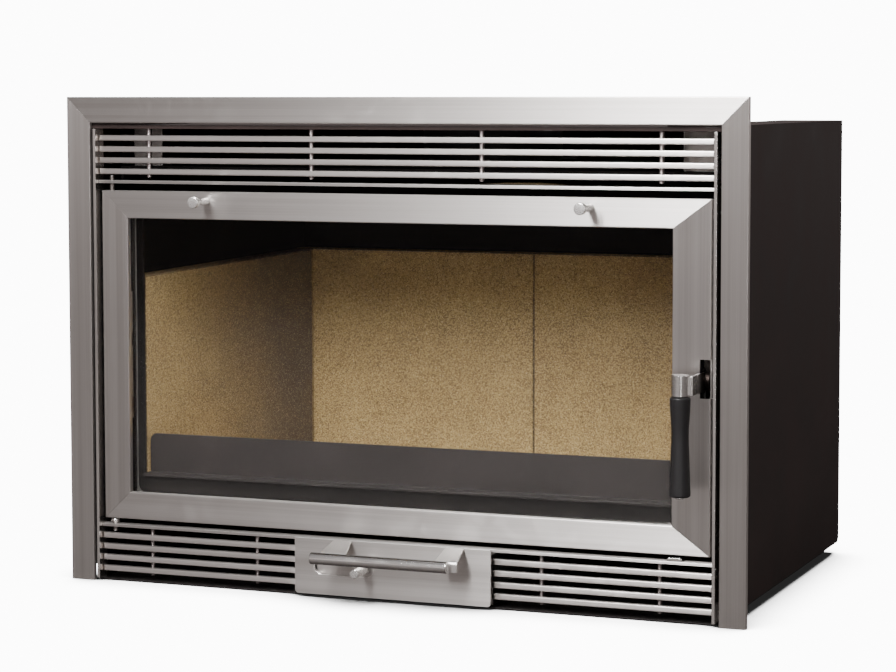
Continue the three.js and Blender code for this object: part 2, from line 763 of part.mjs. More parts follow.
// ---------------------------------------------------------------- door
// Section of a fascia member: [outward offset from the glass opening, depth], web to the front.
function fasciaSection(face) {
  const y0 = doorFront;
  return [
    [0, y0],
    [face, y0],
    [face, y0 + DOOR_SHEET + DOOR_RETURN],
    [face - DOOR_SHEET, y0 + DOOR_SHEET + DOOR_RETURN],
    [face - DOOR_SHEET, y0 + DOOR_SHEET],
    [DOOR_SHEET, y0 + DOOR_SHEET],
    [DOOR_SHEET, glassFront - FIT],
    [0, glassFront - FIT],
  ];
}

// Corners of the door's outline and of the glass opening, as the miters run between them.
const outerEdge = { left: -doorHalf, right: doorHalf, bottom: doorBottom, top: doorTop };

function fasciaRail(end) {
  const outward = end === "top" ? 1 : -1;
  const section = fasciaSection(DOOR_RAIL_FACE).map(([out, y]) => [y, view[end] + outward * out]);
  const miter = FIT / 2;
  const face = [
    [view.left + miter, view[end]],
    [view.right - miter, view[end]],
    [outerEdge.right - miter, outerEdge[end]],
    [outerEdge.left + miter, outerEdge[end]],
  ];
  const rail = prism("x", section, -doorHalf, doorHalf).intersect(prism("y", face, 0, doorRear));
  return cut(rail, hingeHole(outerEdge[end] - DOOR_SHEET - 1, outerEdge[end] + DOOR_SHEET + 1));
}

function fasciaStile(end) {
  const outward = end === "right" ? 1 : -1;
  const faceWidth = Math.abs(outerEdge[end] - view[end]);
  const section = fasciaSection(faceWidth).map(([out, y]) => [view[end] + outward * out, y]);
  const miter = FIT / 2;
  const face = [
    [view[end], view.bottom + miter],
    [view[end], view.top - miter],
    [outerEdge[end], outerEdge.top - miter],
    [outerEdge[end], outerEdge.bottom + miter],
  ];
  return prism("z", section, doorBottom, doorTop).intersect(prism("y", face, 0, doorRear));
}

function latchNotch(grow = 0) {
  const half = NOTCH_HEIGHT / 2 + grow;
  const middle = LATCH_HEIGHT + LEVER_PLATE;
  return block([notchLeft, doorHalf + 1], [0, corePlateRear + 1], [middle - half, middle + half]);
}

function fasciaTop() {
  const ports = [-1, 1].map((side) => rod(
    "y", side * VALVE_SPREAD, doorTop - VALVE_DROP, VALVE_SPINDLE_DIAMETER + 2 * FIT, 0, corePlateRear + 1,
  ));
  return cut(fasciaRail("top"), ...ports);
}

// Folded core behind the fascia: front plate, rim wall and rear ring that carries the rope.
function doorCore() {
  const outer = rect(-coreHalf, coreHalf, coreBottom, coreTop);
  const room = rect(
    -coreHalf + DOOR_SHEET, coreHalf - DOOR_SHEET, coreBottom + DOOR_SHEET, coreTop - DOOR_SHEET,
  );
  // The fascia's inner returns run on past the corners of the view as far as their miters lean.
  const lean = (face, crossing) => DOOR_SHEET * Math.max(1, face / crossing) + FIT;
  const above = lean(DOOR_RAIL_FACE, Math.min(DOOR_HINGE_FACE, DOOR_LATCH_FACE));
  const frontHole = rect(
    view.left - lean(DOOR_HINGE_FACE, DOOR_RAIL_FACE), view.right + lean(DOOR_LATCH_FACE, DOOR_RAIL_FACE),
    view.bottom - above, view.top + above,
  );
  const rearHole = rounded(
    -coreHalf + DOOR_CORE_RIM, coreHalf - DOOR_CORE_RIM, coreBottom + DOOR_CORE_RIM,
    coreTop - DOOR_CORE_RIM, WINDOW_CORNER,
  );
  const core = cut(
    prism("y", outer, coreFront, doorRear),
    prism("y", room, corePlateRear, doorRear - DOOR_SHEET),
    prism("y", frontHole, coreFront - 1, corePlateRear + 1),
    prism("y", rearHole, doorRear - DOOR_SHEET - 1, doorRear + 1),
  );
  const middle = LATCH_HEIGHT + LEVER_PLATE;
  const latchHalf = NOTCH_HEIGHT / 2 + LEVER_PLATE;
  const latchRoom = block(
    [notchLeft - LEVER_PLATE, doorHalf], [corePlateRear - 1, doorRear + 1],
    [middle - latchHalf, catchBottom + CATCH_HEIGHT + LEVER_PLATE],
  );
  const valvePorts = [-1, 1].map((side) => rod(
    "y", side * VALVE_SPREAD, doorTop - VALVE_DROP, VALVE_SPINDLE_DIAMETER + 2 * FIT,
    coreFront - 1, corePlateRear + 1,
  ));
  const airPorts = [-1, 1].map((side) => rod(
    "y", side * VALVE_SPREAD, doorTop - VALVE_DROP, VALVE_PORT_DIAMETER,
    doorRear - DOOR_SHEET - 1, doorRear + 1,
  ));
  const hinges = hingeHole(coreBottom - 1, coreTop + 1);
  return fuse(cut(core, latchNotch(1), latchRoom, ...valvePorts, ...airPorts, hinges), latchBracket());
}

function doorGlass() {
  const over = GLASS_OVERLAP;
  const outline = rounded(view.left - over, view.right + over, view.bottom - over, view.top + over, 2, 3);
  return prism("y", outline, glassFront, glassRear);
}

// Z section of a glass clip: [outward offset from the edge of the glass, depth].
function clipSection() {
  const y0 = corePlateRear + FIT;
  const y1 = glassRear + FIT + CLIP_SHEET;
  return [
    [FIT, y0],
    [FIT + CLIP_FOOT, y0],
    [FIT + CLIP_FOOT, y0 + CLIP_SHEET],
    [FIT + CLIP_SHEET, y0 + CLIP_SHEET],
    [FIT + CLIP_SHEET, y1],
    [-CLIP_LIP, y1],
    [-CLIP_LIP, y1 - CLIP_SHEET],
    [FIT, y1 - CLIP_SHEET],
  ];
}

function clipRail(end) {
  const outward = end === "top" ? 1 : -1;
  const edge = view[end] + outward * GLASS_OVERLAP;
  const section = clipSection().map(([out, y]) => [y, edge + outward * out]);
  return prism("x", section, view.left + CLIP_END, view.right - CLIP_END);
}

function clipStile(end) {
  const outward = end === "right" ? 1 : -1;
  const edge = view[end] + outward * GLASS_OVERLAP;
  const section = clipSection().map(([out, y]) => [edge + outward * out, y]);
  const inset = CLIP_END / 2;
  const clip = prism("z", section, view.bottom + inset, view.top - inset);
  return end === "right" ? cut(clip, latchBracketRoom()) : clip;
}

function doorRope() {
  const ring = (inset) => rounded(
    -coreHalf + inset, coreHalf - inset, coreBottom + inset, coreTop - inset, ROPE_WIDTH,
  );
  const y0 = doorRear + FIT;
  const band = cut(
    prism("y", ring(ROPE_INSET), y0, y0 + ROPE_DEPTH),
    prism("y", ring(ROPE_INSET + ROPE_WIDTH), y0 - 1, y0 + ROPE_DEPTH + 1),
  );
  return band;
}

// ---------------------------------------------------------------- hinge
function hingeHole(from, to) {
  return rod("z", hingeX, hingeY, HINGE_DIAMETER + 2 * FIT, from, to);
}

function hingePin(from, to) {
  const r = HINGE_DIAMETER / 2;
  const length = to - from;
  const profile = [[0, 0], [r - 0.5, 0], [r, 0.5], [r, length - 0.5], [r - 0.5, length], [0, length]];
  return turned("z", hingeX, hingeY, from, profile, 32);
}

function hingeBearing() {
  const r = BEARING_DIAMETER / 2;
  const bore = HINGE_DIAMETER / 2 + FIT;
  const height = DOOR_BOTTOM_GAP - 2 * FIT;
  const bulge = arc(r - height / 2, height / 2, height / 2, -60, 60, 8);
  const flat = r - height / 2;
  const profile = [[bore, 0], [flat, 0], ...bulge, [flat, height], [bore, height], [bore, 0]];
  return turned("z", hingeX, hingeY, lowerRailTop + FIT, profile, 32);
}

// ---------------------------------------------------------------- latch
function latchLever() {
  const half = LEVER_HEIGHT / 2;
  const hookTop = catchBottom + CATCH_GRIP;
  const armBottom = LATCH_HEIGHT - LEVER_PLATE * 2;
  const side = [
    [collarY, LATCH_HEIGHT - half],
    [pivotY, LATCH_HEIGHT - half],
    [pivotY + half, armBottom],
    [noseFront + NOSE_THICKNESS, armBottom],
    [noseFront + NOSE_THICKNESS, hookTop],
    [noseFront, hookTop],
    [noseFront, catchBottom - 1],
    [pivotY + half, catchBottom - 1],
    [pivotY, LATCH_HEIGHT + half],
    [collarY, LATCH_HEIGHT + half],
  ];
  const plate = prism("x", side, leverLeft, leverRight);
  const boss = rod("x", pivotY, LATCH_HEIGHT, LEVER_BOSS, leverLeft, leverLeft + LEVER_BOSS_WIDTH, 40);
  const r = COLLAR_DIAMETER / 2;
  const h = COLLAR_HEIGHT;
  const collar = turned(
    "z", collarX, collarY, collarBottom,
    [[0, 0], [r - 0.8, 0], [r, 0.8], [r, h - 0.8], [r - 0.8, h], [0, h]],
  );
  const weld = block(
    [collarX, leverRight - 1], [collarY - LEVER_PLATE, collarY + LEVER_PLATE],
    [LATCH_HEIGHT - half + 1, LATCH_HEIGHT + half - 1],
  );
  const tang = rod("z", collarX, collarY, TANG_DIAMETER, gripBottom, collarBottom + 1);
  const bore = rod(
    "x", pivotY, LATCH_HEIGHT, PIVOT_DIAMETER + 2 * FIT, leverLeft - 1, leverLeft + LEVER_BOSS_WIDTH + 1,
  );
  return cut(fuse(plate, boss, collar, weld, tang), bore);
}

function latchPivotPin() {
  const r = PIVOT_DIAMETER / 2;
  const headX = bracketRight() - LEVER_PLATE - LEVER_PLATE - FIT;
  const head = rod("x", pivotY, LATCH_HEIGHT, PIVOT_DIAMETER * 1.6, headX, headX + LEVER_PLATE);
  const tip = Math.min(leverLeft + LEVER_BOSS_WIDTH, coreHalf - DOOR_SHEET);
  return fuse(head, prism("x", circle(pivotY, LATCH_HEIGHT, r, 32), headX + 1, tip));
}

function bracketRight() {
  return leverLeft - FIT;
}

function latchBracketRoom() {
  const right = bracketRight();
  return block(
    [right - 4 * LEVER_PLATE, right + 1],
    [corePlateRear - 1, doorRear],
    [LATCH_HEIGHT - LEVER_BOSS, LATCH_HEIGHT + LEVER_BOSS],
  );
}

// Angle welded to the core's front plate, carrying the lever's pivot.
function latchBracket() {
  const right = bracketRight();
  const y0 = corePlateRear - DOOR_SHEET / 2;
  const y1 = pivotY + LEVER_BOSS / 2;
  const half = LEVER_BOSS / 2 + LEVER_PLATE;
  const section = [
    [right - 3 * LEVER_PLATE, y0],
    [right, y0],
    [right, y1],
    [right - LEVER_PLATE, y1],
    [right - LEVER_PLATE, corePlateRear + DOOR_SHEET],
    [right - 3 * LEVER_PLATE, corePlateRear + DOOR_SHEET],
  ];
  const angle = prism("z", section, LATCH_HEIGHT - half, LATCH_HEIGHT + half);
  const side = rounded(y0 - 1, y1, LATCH_HEIGHT - half, LATCH_HEIGHT + half, [0, 6, 6, 0]);
  const bore = rod("x", pivotY, LATCH_HEIGHT, PIVOT_DIAMETER + 2 * FIT, right - LEVER_PLATE - 1, right + 1);
  return cut(angle.intersect(prism("x", side, 0, surroundInner)), bore);
}

// Angle on the cheek: the hook closes behind its front plate.
function latchCatch() {
  const right = surroundInner - FIT;
  const section = [
    [right - CATCH_WIDTH, catchFront],
    [right, catchFront],
    [right, plateFront - FIT],
    [right - CATCH_PLATE, plateFront - FIT],
    [right - CATCH_PLATE, catchFront + CATCH_PLATE],
    [right - CATCH_WIDTH, catchFront + CATCH_PLATE],
  ];
  return prism("z", section, catchBottom, catchBottom + CATCH_HEIGHT);
}

// Waisted grip turned round the tang.
function handleGrip() {
  const r = GRIP_DIAMETER / 2;
  const waist = GRIP_WAIST / 2;
  const bore = TANG_DIAMETER / 2 + FIT;
  const edge = 1.5;
  const side = new THREE.SplineCurve([
    new THREE.Vector2(r, edge),
    new THREE.Vector2(r * 0.97, GRIP_LENGTH * 0.14),
    new THREE.Vector2(waist, GRIP_LENGTH * 0.6),
    new THREE.Vector2(r * 0.93, GRIP_LENGTH * 0.86),
    new THREE.Vector2(r - 0.2, GRIP_LENGTH - edge),
  ]).getPoints(20).map((p) => [p.x, p.y]);
  const profile = [
    [bore, 0], [r - edge, 0], ...side, [r - edge, GRIP_LENGTH], [bore, GRIP_LENGTH], [bore, 0],
  ];
  return turned("z", collarX, collarY, gripBottom, profile, 40);
}

function gripEndCap() {
  const r = END_CAP_DIAMETER / 2;
  const profile = [[0, 0], [r - 1, 0], [r, 1], [r, 2], [0, 2]];
  return turned("z", collarX, collarY, gripBottom - FIT - 2, profile, 32);
}

// ---------------------------------------------------------------- window-air valves
// Knob, spindle and plug turned from one bar; the plug shuts the port in the door's rear ring.
function airValve(side) {
  const x = side * VALVE_SPREAD;
  const z = doorTop - VALVE_DROP;
  const seat = doorRear - DOOR_SHEET - FIT;
  const r = VALVE_KNOB_DIAMETER / 2;
  const spindle = VALVE_SPINDLE_DIAMETER / 2;
  const plug = VALVE_PLUG_DIAMETER / 2;
  const knobRear = seat - doorFront + FIT;
  const knobFront = knobRear + VALVE_KNOB_LENGTH;
  const edge = 0.8;
  const profile = [
    [0, 0],
    [plug - edge, 0],
    [plug, edge],
    [plug, VALVE_PLUG_LENGTH],
    [spindle, VALVE_PLUG_LENGTH],
    [spindle, knobRear],
    [r - edge, knobRear],
    [r, knobRear + edge],
    [r, knobFront - edge],
    [r - edge, knobFront],
    [0, knobFront],
  ];
  return turned("y", x, z, seat, profile, 40);
}

// ---------------------------------------------------------------- ash drawer
function drawerFrontPlate() {
  const outline = rounded(
    -drawerHalf, drawerHalf, SURROUND_FOOT, drawerTop, [DRAWER_CORNER, DRAWER_CORNER, 0, 0],
  );
  const slot = pill(-AIR_SLOT_LEFT, -AIR_SLOT_LEFT + AIR_SLOT_LENGTH, slotZ, AIR_SLOT_HEIGHT);
  return cut(
    prism("y", outline, drawerFront, drawerRear),
    prism("y", slot, drawerFront - 1, drawerRear + 1),
  );
}

function ashPan() {
  const box = block([-panHalf, panHalf], [ashFront, ashFront + PAN_LENGTH], [ashBottom, ashTop]);
  const inside = block(
    [-panHalf + ASH_SHEET, panHalf - ASH_SHEET],
    [ashFront + ASH_SHEET, ashFront + PAN_LENGTH - ASH_SHEET],
    [ashBottom + ASH_SHEET, ashTop + 1],
  );
  const ports = [-1, 0, 1].map((i) => {
    const x = airKnobX - AIR_PORT_WIDTH + i * AIR_PORT_PITCH;
    return block(
      [x - AIR_PORT_WIDTH / 2, x + AIR_PORT_WIDTH / 2],
      [ashFront - 1, ashFront + ASH_SHEET + 1],
      [slotZ - AIR_PORT_HEIGHT / 2, slotZ + AIR_PORT_HEIGHT / 2],
    );
  });
  return fuse(cut(box, inside, ...ports), airGuide(1), airGuide(-1));
}

// Rib on the pan's front above (1) or below (-1) the slider, which spaces the front plate off the pan.
function airGuide(side) {
  const inner = slotZ + side * (SLIDER_HEIGHT / 2 + FIT);
  const outer = inner + side * GUIDE_HEIGHT;
  const heights = [inner, outer].sort((a, b) => a - b);
  return block([-panHalf, panHalf], [sliderFront, ashFront + ASH_SHEET / 2], heights);
}

function airSlider() {
  const plate = block(
    [airKnobX - SLIDER_WIDTH / 2, airKnobX + SLIDER_WIDTH / 2],
    [sliderFront, sliderFront + ASH_SHEET],
    [slotZ - SLIDER_HEIGHT / 2, slotZ + SLIDER_HEIGHT / 2],
  );
  const stud = rod(
    "y", airKnobX, slotZ, AIR_STUD_DIAMETER, drawerFront - AIR_KNOB_LENGTH / 2, sliderFront + ASH_SHEET / 2,
  );
  return fuse(plate, stud);
}

// Turned knob with a blind bore for the slider's stud; heights run forward from its rear face.
function airKnob() {
  const r = AIR_KNOB_DIAMETER / 2;
  const bore = AIR_STUD_DIAMETER / 2 + FIT;
  const length = AIR_KNOB_LENGTH;
  const edge = 0.8;
  const profile = [
    [0, length / 2],
    [bore, length / 2],
    [bore, 0],
    [r - edge, 0],
    [r, edge],
    [r, length - edge],
    [r - edge, length],
    [0, length],
  ];
  return turned("y", airKnobX, slotZ, drawerFront - FIT, profile, 40);
}

function handleBar() {
  const r = HANDLE_DIAMETER / 2;
  const half = HANDLE_LENGTH / 2;
  const edge = 0.8;
  const core = rod("x", handleY, handleZ, HANDLE_DIAMETER, -half + edge, half - edge, 40);
  const ends = rod("x", handleY, handleZ, 2 * (r - edge / 2), -half, half, 40);
  return fuse(core, ends);
}

// Bent flat from the plate's top edge, falling forward and turning down behind the bar.
function handleStrap(side) {
  const t = STRAP_SHEET;
  const tail = handleY + HANDLE_DIAMETER / 2 + FIT;
  const bend = 3 * t;
  const top = lowerRailTop;
  const low = top - STRAP_FALL;
  const section = [
    [drawerFront - FIT, top],
    [tail + bend, low],
    ...arc(tail + bend, low - bend, bend, 90, 180, 6).slice(1),
    [tail, handleZ - HANDLE_DIAMETER / 2],
    [tail + t, handleZ - HANDLE_DIAMETER / 2],
    ...arc(tail + bend, low - bend, bend - t, 180, 90, 6),
    [drawerFront - FIT, top - t],
  ];
  const inner = (STRAP_SPREAD - STRAP_WIDTH) / 2;
  return prism("x", section, ...span(side, inner, inner + STRAP_WIDTH));
}

function drawerRunner(side) {
  const z0 = PAN_SHEET + FIT;
  const inner = panHalf + FIT;
  const y0 = surroundRear + FIT;
  const section = [
    [side * (inner - RUNNER_FOOT), z0],
    [side * (inner + ASH_SHEET), z0],
    [side * (inner + ASH_SHEET), z0 + RUNNER_HEIGHT],
    [side * inner, z0 + RUNNER_HEIGHT],
    [side * inner, z0 + ASH_SHEET],
    [side * (inner - RUNNER_FOOT), z0 + ASH_SHEET],
  ];
  return prism("y", section, y0, ashFront + PAN_LENGTH);
}

// ---------------------------------------------------------------- materials
function metal(color, roughness) {
  return () => new THREE.MeshStandardMaterial({ color, roughness, metalness: 1 });
}

function matte(color, roughness) {
  return () => new THREE.MeshStandardMaterial({ color, roughness, metalness: 0 });
}

function glassPane() {
  return new THREE.MeshStandardMaterial({
    color: 0xb8bcb8, roughness: 0.05, metalness: 0, transparent: true, opacity: 0.25,
  });
}

const stainless = metal(0xa49f97, 0.38);
const brightSteel = metal(0xb9b4ab, 0.28);
const rawSteel = metal(0x8d8f90, 0.5);
const casingPaint = matte(0x2a2420, 0.62);
const stovePaint = matte(0x161514, 0.7);
const castIron = matte(0x201f1e, 0.8);
const vermiculite = matte(0xa08661, 0.95);
const ropeSeal = matte(0x35322f, 1);
const gripPlastic = matte(0x141414, 0.45);

// ---------------------------------------------------------------- assembly
const insert = new THREE.Group();

function geometryOf(body) {
  const mesh = body.getMesh();
  const geometry = new THREE.BufferGeometry();
  geometry.setAttribute("position", new THREE.BufferAttribute(mesh.vertProperties, mesh.numProp));
  geometry.setIndex(new THREE.BufferAttribute(mesh.triVerts, 1));
  const faceted = geometry.toNonIndexed();
  faceted.computeVertexNormals();
  return faceted;
}

function add(name, body, material) {
  const mesh = new THREE.Mesh(geometryOf(body), material());
  mesh.name = name;
  insert.add(mesh);
}

function addPair(name, make, material) {
  add(`${name}_left`, make(-1), material);
  add(`${name}_right`, make(1), material);
}

add("trim_top", trimTop(), stainless);
addPair("trim", trimLeg, stainless);
addPair("casing", casingSide, casingPaint);
add("casing_top", casingTopPlate(), casingPaint);
add("casing_back", casingBack(), casingPaint);
add("base_pan", basePan(), stovePaint);

addPair("surround", surroundStrip, stainless);
add("upper_rail", surroundRail(upperRail), stainless);
add("lower_rail", surroundRail(lowerRail), stainless);
add("door_rest_pad", doorRestPad(), brightSteel);
add("upper_grille", upperGrille(), stainless);
addPair("lower_grille", lowerGrille, stainless);
add("front_box", frontBox(), stovePaint);

add("firebox_shell", fireboxShell(), stovePaint);
add("flue_collar", flueCollar(), castIron);
addPair("brick", sideBrick, vermiculite);
addPair("brick_back", backBrick, vermiculite);
add("brick_floor", floorBrick(), vermiculite);
add("grate", grate(), castIron);
add("baffle", baffle(), vermiculite);
add("log_guard", logGuard(), stovePaint);
addPair("plenum_bracket", plenumBracket, rawSteel);

add("fascia_top", fasciaTop(), stainless);
add("fascia_bottom", fasciaRail("bottom"), stainless);
add("fascia_hinge", fasciaStile("left"), stainless);
add("fascia_latch", cut(fasciaStile("right"), latchNotch()), stainless);
add("door_core", doorCore(), stovePaint);
add("door_glass", doorGlass(), glassPane);
add("glass_clip_top", clipRail("top"), rawSteel);
add("glass_clip_bottom", clipRail("bottom"), rawSteel);
add("glass_clip_hinge", clipStile("left"), rawSteel);
add("glass_clip_latch", clipStile("right"), rawSteel);
add("door_rope", doorRope(), ropeSeal);
add("hinge_pin_top", hingePin(coreTop - HINGE_HOLD, pinTop), brightSteel);
add("hinge_pin_bottom", hingePin(pinBottom, coreBottom + HINGE_HOLD), brightSteel);
add("hinge_bearing", hingeBearing(), brightSteel);

add("latch_lever", latchLever(), brightSteel);
add("latch_pivot_pin", latchPivotPin(), brightSteel);
add("latch_catch", latchCatch(), rawSteel);
add("handle_grip", handleGrip(), gripPlastic);
add("grip_end_cap", gripEndCap(), brightSteel);
addPair("air_valve", airValve, brightSteel);

add("drawer_front", drawerFrontPlate(), stainless);
add("ash_pan", ashPan(), stainless);
add("air_slider", airSlider(), stainless);
add("air_knob", airKnob(), brightSteel);
add("drawer_handle", handleBar(), stainless);
addPair("drawer_strap", handleStrap, stainless);
addPair("drawer_runner", drawerRunner, rawSteel);

// The origin stands midway between the grip's front and the casing's rear edge.
const frontmost = collarY - GRIP_DIAMETER / 2;
insert.position.y = -(frontmost + CASING_DEPTH) / 2;

export default insert;
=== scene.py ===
# %% [markdown]
# # A fireplace insert in its steel trim
# The frame holds the insert's solids in metres: X to the right, Y to the rear, Z up from the hearth. Every
# visible piece stands in for one of those solids. Most are copies with real edges, and a few small ones at the
# front are fitted to the photograph. We load the frame first.

# %% Load the frame
import math

import bmesh
import bpy
from mathutils import Matrix, Vector


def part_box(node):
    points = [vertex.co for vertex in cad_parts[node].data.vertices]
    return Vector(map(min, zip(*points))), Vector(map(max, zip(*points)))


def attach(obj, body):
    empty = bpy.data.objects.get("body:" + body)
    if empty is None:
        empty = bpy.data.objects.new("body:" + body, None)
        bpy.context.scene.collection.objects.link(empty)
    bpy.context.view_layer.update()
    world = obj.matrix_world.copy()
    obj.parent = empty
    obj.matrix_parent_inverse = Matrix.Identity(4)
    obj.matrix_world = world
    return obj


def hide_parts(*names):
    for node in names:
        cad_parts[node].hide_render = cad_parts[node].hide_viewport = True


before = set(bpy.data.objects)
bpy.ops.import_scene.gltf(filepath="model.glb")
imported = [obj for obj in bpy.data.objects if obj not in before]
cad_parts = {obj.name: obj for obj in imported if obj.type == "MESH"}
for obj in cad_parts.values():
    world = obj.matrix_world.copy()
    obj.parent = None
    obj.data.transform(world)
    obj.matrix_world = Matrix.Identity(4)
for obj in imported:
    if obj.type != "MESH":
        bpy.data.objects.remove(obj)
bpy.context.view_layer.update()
MM = 0.001
X_AXIS, Y_AXIS = 0, 1

# %% [markdown]
# ## The camera
# The photograph was taken with a long lens from the right of the door, a little above the middle. A long lens
# keeps the trim's edges almost parallel, so the distance matters as much as the angle. The small shift stands
# for the crop of the original picture.

# %% Camera
CAMERA_PLACE = Vector((1.0470, -2.6894, 0.5341))
CAMERA_TURN = math.radians(21.64)
CAMERA_DIP = math.radians(4.19)
CAMERA_ROLL = math.radians(-0.08)
LENS = 104.9
CROP_SHIFT = -0.0625

camera_data = bpy.data.cameras.new("photo_camera")
camera_data.lens = LENS
camera_data.sensor_width = 36.0
camera_data.shift_y = CROP_SHIFT
camera_data.clip_end = 50.0
camera = bpy.data.objects.new("photo_camera", camera_data)
bpy.context.scene.collection.objects.link(camera)
aim = Matrix.Rotation(CAMERA_TURN, 4, "Z") @ Matrix.Rotation(math.pi / 2 - CAMERA_DIP, 4, "X")
camera.matrix_world = Matrix.Translation(CAMERA_PLACE) @ aim @ Matrix.Rotation(CAMERA_ROLL, 4, "Z")
bpy.context.scene.camera = camera
print("camera", [round(v, 3) for v in CAMERA_PLACE])

# %% [markdown]
# ## Building shader nodes in one line each
# A material is a small program. `make` adds a node and fills its inputs, with either a number or another node's
# output. `mixed` blends two colours, and `calc` does arithmetic. Everything below is written with these three.

# %% Helpers for shader nodes
def make(tree, kind, inputs=None, **options):
    made = tree.nodes.new("ShaderNode" + kind)
    for key, value in options.items():
        setattr(made, key, value)
    for key, value in (inputs or {}).items():
        socket = made.inputs[key]
        if isinstance(value, bpy.types.NodeSocket):
            tree.links.new(value, socket)
        else:
            socket.default_value = value
    return made


def calc(tree, operation, first, second=0.0, third=0.0, clamp=False):
    node = make(tree, "Math", {0: first, 1: second, 2: third}, operation=operation, use_clamp=clamp)
    return node.outputs[0]


def mixed(tree, factor, first, second):
    node = make(tree, "Mix", {0: factor, 6: first, 7: second}, data_type="RGBA")
    return node.outputs[2]


def between(tree, value, low, high, to_low=0.0, to_high=1.0):
    """The value's place between low and high, eased, as a number from to_low to to_high."""
    inputs = {"Value": value, "From Min": low, "From Max": high, "To Min": to_low, "To Max": to_high}
    return make(tree, "MapRange", inputs, interpolation_type="SMOOTHSTEP").outputs[0]


def new_group(name, inputs, outputs):
    tree = bpy.data.node_groups.new(name, "ShaderNodeTree")
    for label, kind, value in inputs:
        socket = tree.interface.new_socket(name=label, in_out="INPUT", socket_type="NodeSocket" + kind)
        if value is not None:
            socket.default_value = value
    for label, kind in outputs:
        tree.interface.new_socket(name=label, in_out="OUTPUT", socket_type="NodeSocket" + kind)
    into = tree.nodes.new("NodeGroupInput").outputs
    out = tree.nodes.new("NodeGroupOutput").inputs
    return tree, into, out


def use_group(tree, group, inputs):
    node = tree.nodes.new("ShaderNodeGroup")
    node.node_tree = group
    for key, value in inputs.items():
        if isinstance(value, bpy.types.NodeSocket):
            tree.links.new(value, node.inputs[key])
        else:
            node.inputs[key].default_value = value
    return node.outputs


def noise(tree, place, scale, detail=2.0, roughness=0.5, distortion=0.0):
    inputs = {"Vector": place, "Scale": scale, "Detail": detail, "Roughness": roughness}
    inputs["Distortion"] = distortion
    return make(tree, "TexNoise", inputs).outputs["Fac"]


print("shader helpers ready")

# %% [markdown]
# ## Surface patterns that materials share
# Four groups carry the patterns: the grain that an abrasive belt leaves, the marks of handling, the polish that
# edges get, and the skin of a sprayed paint. Each takes a place on the object, so the pattern stays fixed to
# the steel and keeps its real size in metres.

# %% Shared patterns: brushed grain
def brushed_grain():
    tree, into, out = new_group(
        "brushed_grain",
        [("Place", "Vector", None), ("Per Metre", "Vector", (6.0, 1200.0, 1200.0))],
        [("Broad", "Float"), ("Fine", "Float"), ("Height", "Float")],
    )
    stretched = make(tree, "VectorMath", {0: into["Place"], 1: into["Per Metre"]}, operation="MULTIPLY")
    wide = make(tree, "VectorMath", {0: stretched.outputs[0], "Scale": 0.11}, operation="SCALE")
    broad = noise(tree, wide.outputs[0], 1.0, 3.0, 0.62)
    fine = noise(tree, stretched.outputs[0], 1.0, 2.0, 0.7)
    height = calc(tree, "MULTIPLY_ADD", fine, 0.65, calc(tree, "MULTIPLY", broad, 0.35))
    tree.links.new(broad, out["Broad"])
    tree.links.new(fine, out["Fine"])
    tree.links.new(height, out["Height"])
    return tree


GRAIN = brushed_grain()

# %% Shared patterns: handling marks
def handling_marks():
    tree, into, out = new_group(
        "handling_marks",
        [("Place", "Vector", None), ("Size", "Float", 9.0)],
        [("Clouds", "Float"), ("Smudges", "Float")],
    )
    clouds = noise(tree, into["Place"], into["Size"], 3.0, 0.55, 0.4)
    spots = noise(tree, into["Place"], calc(tree, "MULTIPLY", into["Size"], 7.0), 4.0, 0.6, 1.2)
    rubbed = calc(tree, "MULTIPLY", between(tree, clouds, 0.42, 0.68), between(tree, spots, 0.45, 0.66))
    tree.links.new(clouds, out["Clouds"])
    tree.links.new(rubbed, out["Smudges"])
    return tree


MARKS = handling_marks()

# %% Shared patterns: worn edges
def worn_edges():
    tree, into, out = new_group(
        "worn_edges",
        [("Place", "Vector", None), ("Edge", "Float", 0.0), ("Wear", "Float", 0.5)],
        [("Worn", "Float")],
    )
    patches = noise(tree, into["Place"], 55.0, 4.0, 0.6)
    limit = calc(tree, "SUBTRACT", 0.75, calc(tree, "MULTIPLY", into["Wear"], 0.5))
    chipped = between(tree, patches, limit, calc(tree, "ADD", limit, 0.12))
    worn = calc(tree, "MULTIPLY", chipped, into["Edge"], clamp=True)
    tree.links.new(worn, out["Worn"])
    return tree


EDGES = worn_edges()

# %% Shared patterns: paint skin
def paint_skin():
    tree, into, out = new_group(
        "paint_skin",
        [("Place", "Vector", None), ("Grains", "Float", 900.0)],
        [("Height", "Float"), ("Mottle", "Float"), ("Dust", "Float")],
    )
    skin = noise(tree, into["Place"], into["Grains"], 3.0, 0.6)
    swell = noise(tree, into["Place"], calc(tree, "MULTIPLY", into["Grains"], 0.12), 2.0, 0.5)
    mottle = noise(tree, into["Place"], 14.0, 4.0, 0.55, 0.3)
    upward = make(tree, "SeparateXYZ", {0: make(tree, "NewGeometry").outputs["Normal"]}).outputs["Z"]
    specks = between(tree, noise(tree, into["Place"], 420.0, 2.0, 0.7), 0.5, 0.72)
    lying = calc(tree, "MULTIPLY", specks, between(tree, upward, 0.3, 1.0))
    height = calc(tree, "MULTIPLY_ADD", skin, 0.6, calc(tree, "MULTIPLY", swell, 0.4))
    tree.links.new(height, out["Height"])
    tree.links.new(mottle, out["Mottle"])
    tree.links.new(lying, out["Dust"])
    return tree


SKIN = paint_skin()
print("shared patterns", [g.name for g in bpy.data.node_groups])

# %% [markdown]
# ## Brushed stainless steel
# A brushed surface has fine grooves. It mirrors sharply along them and smears the light across them, so a sheet
# that is brushed from side to side looks different from one that is brushed upwards, though both are the same
# steel. That contrast at the mitres is what makes the trim read as folded sheet. The shader's tangent is the
# direction in which the light is smeared.

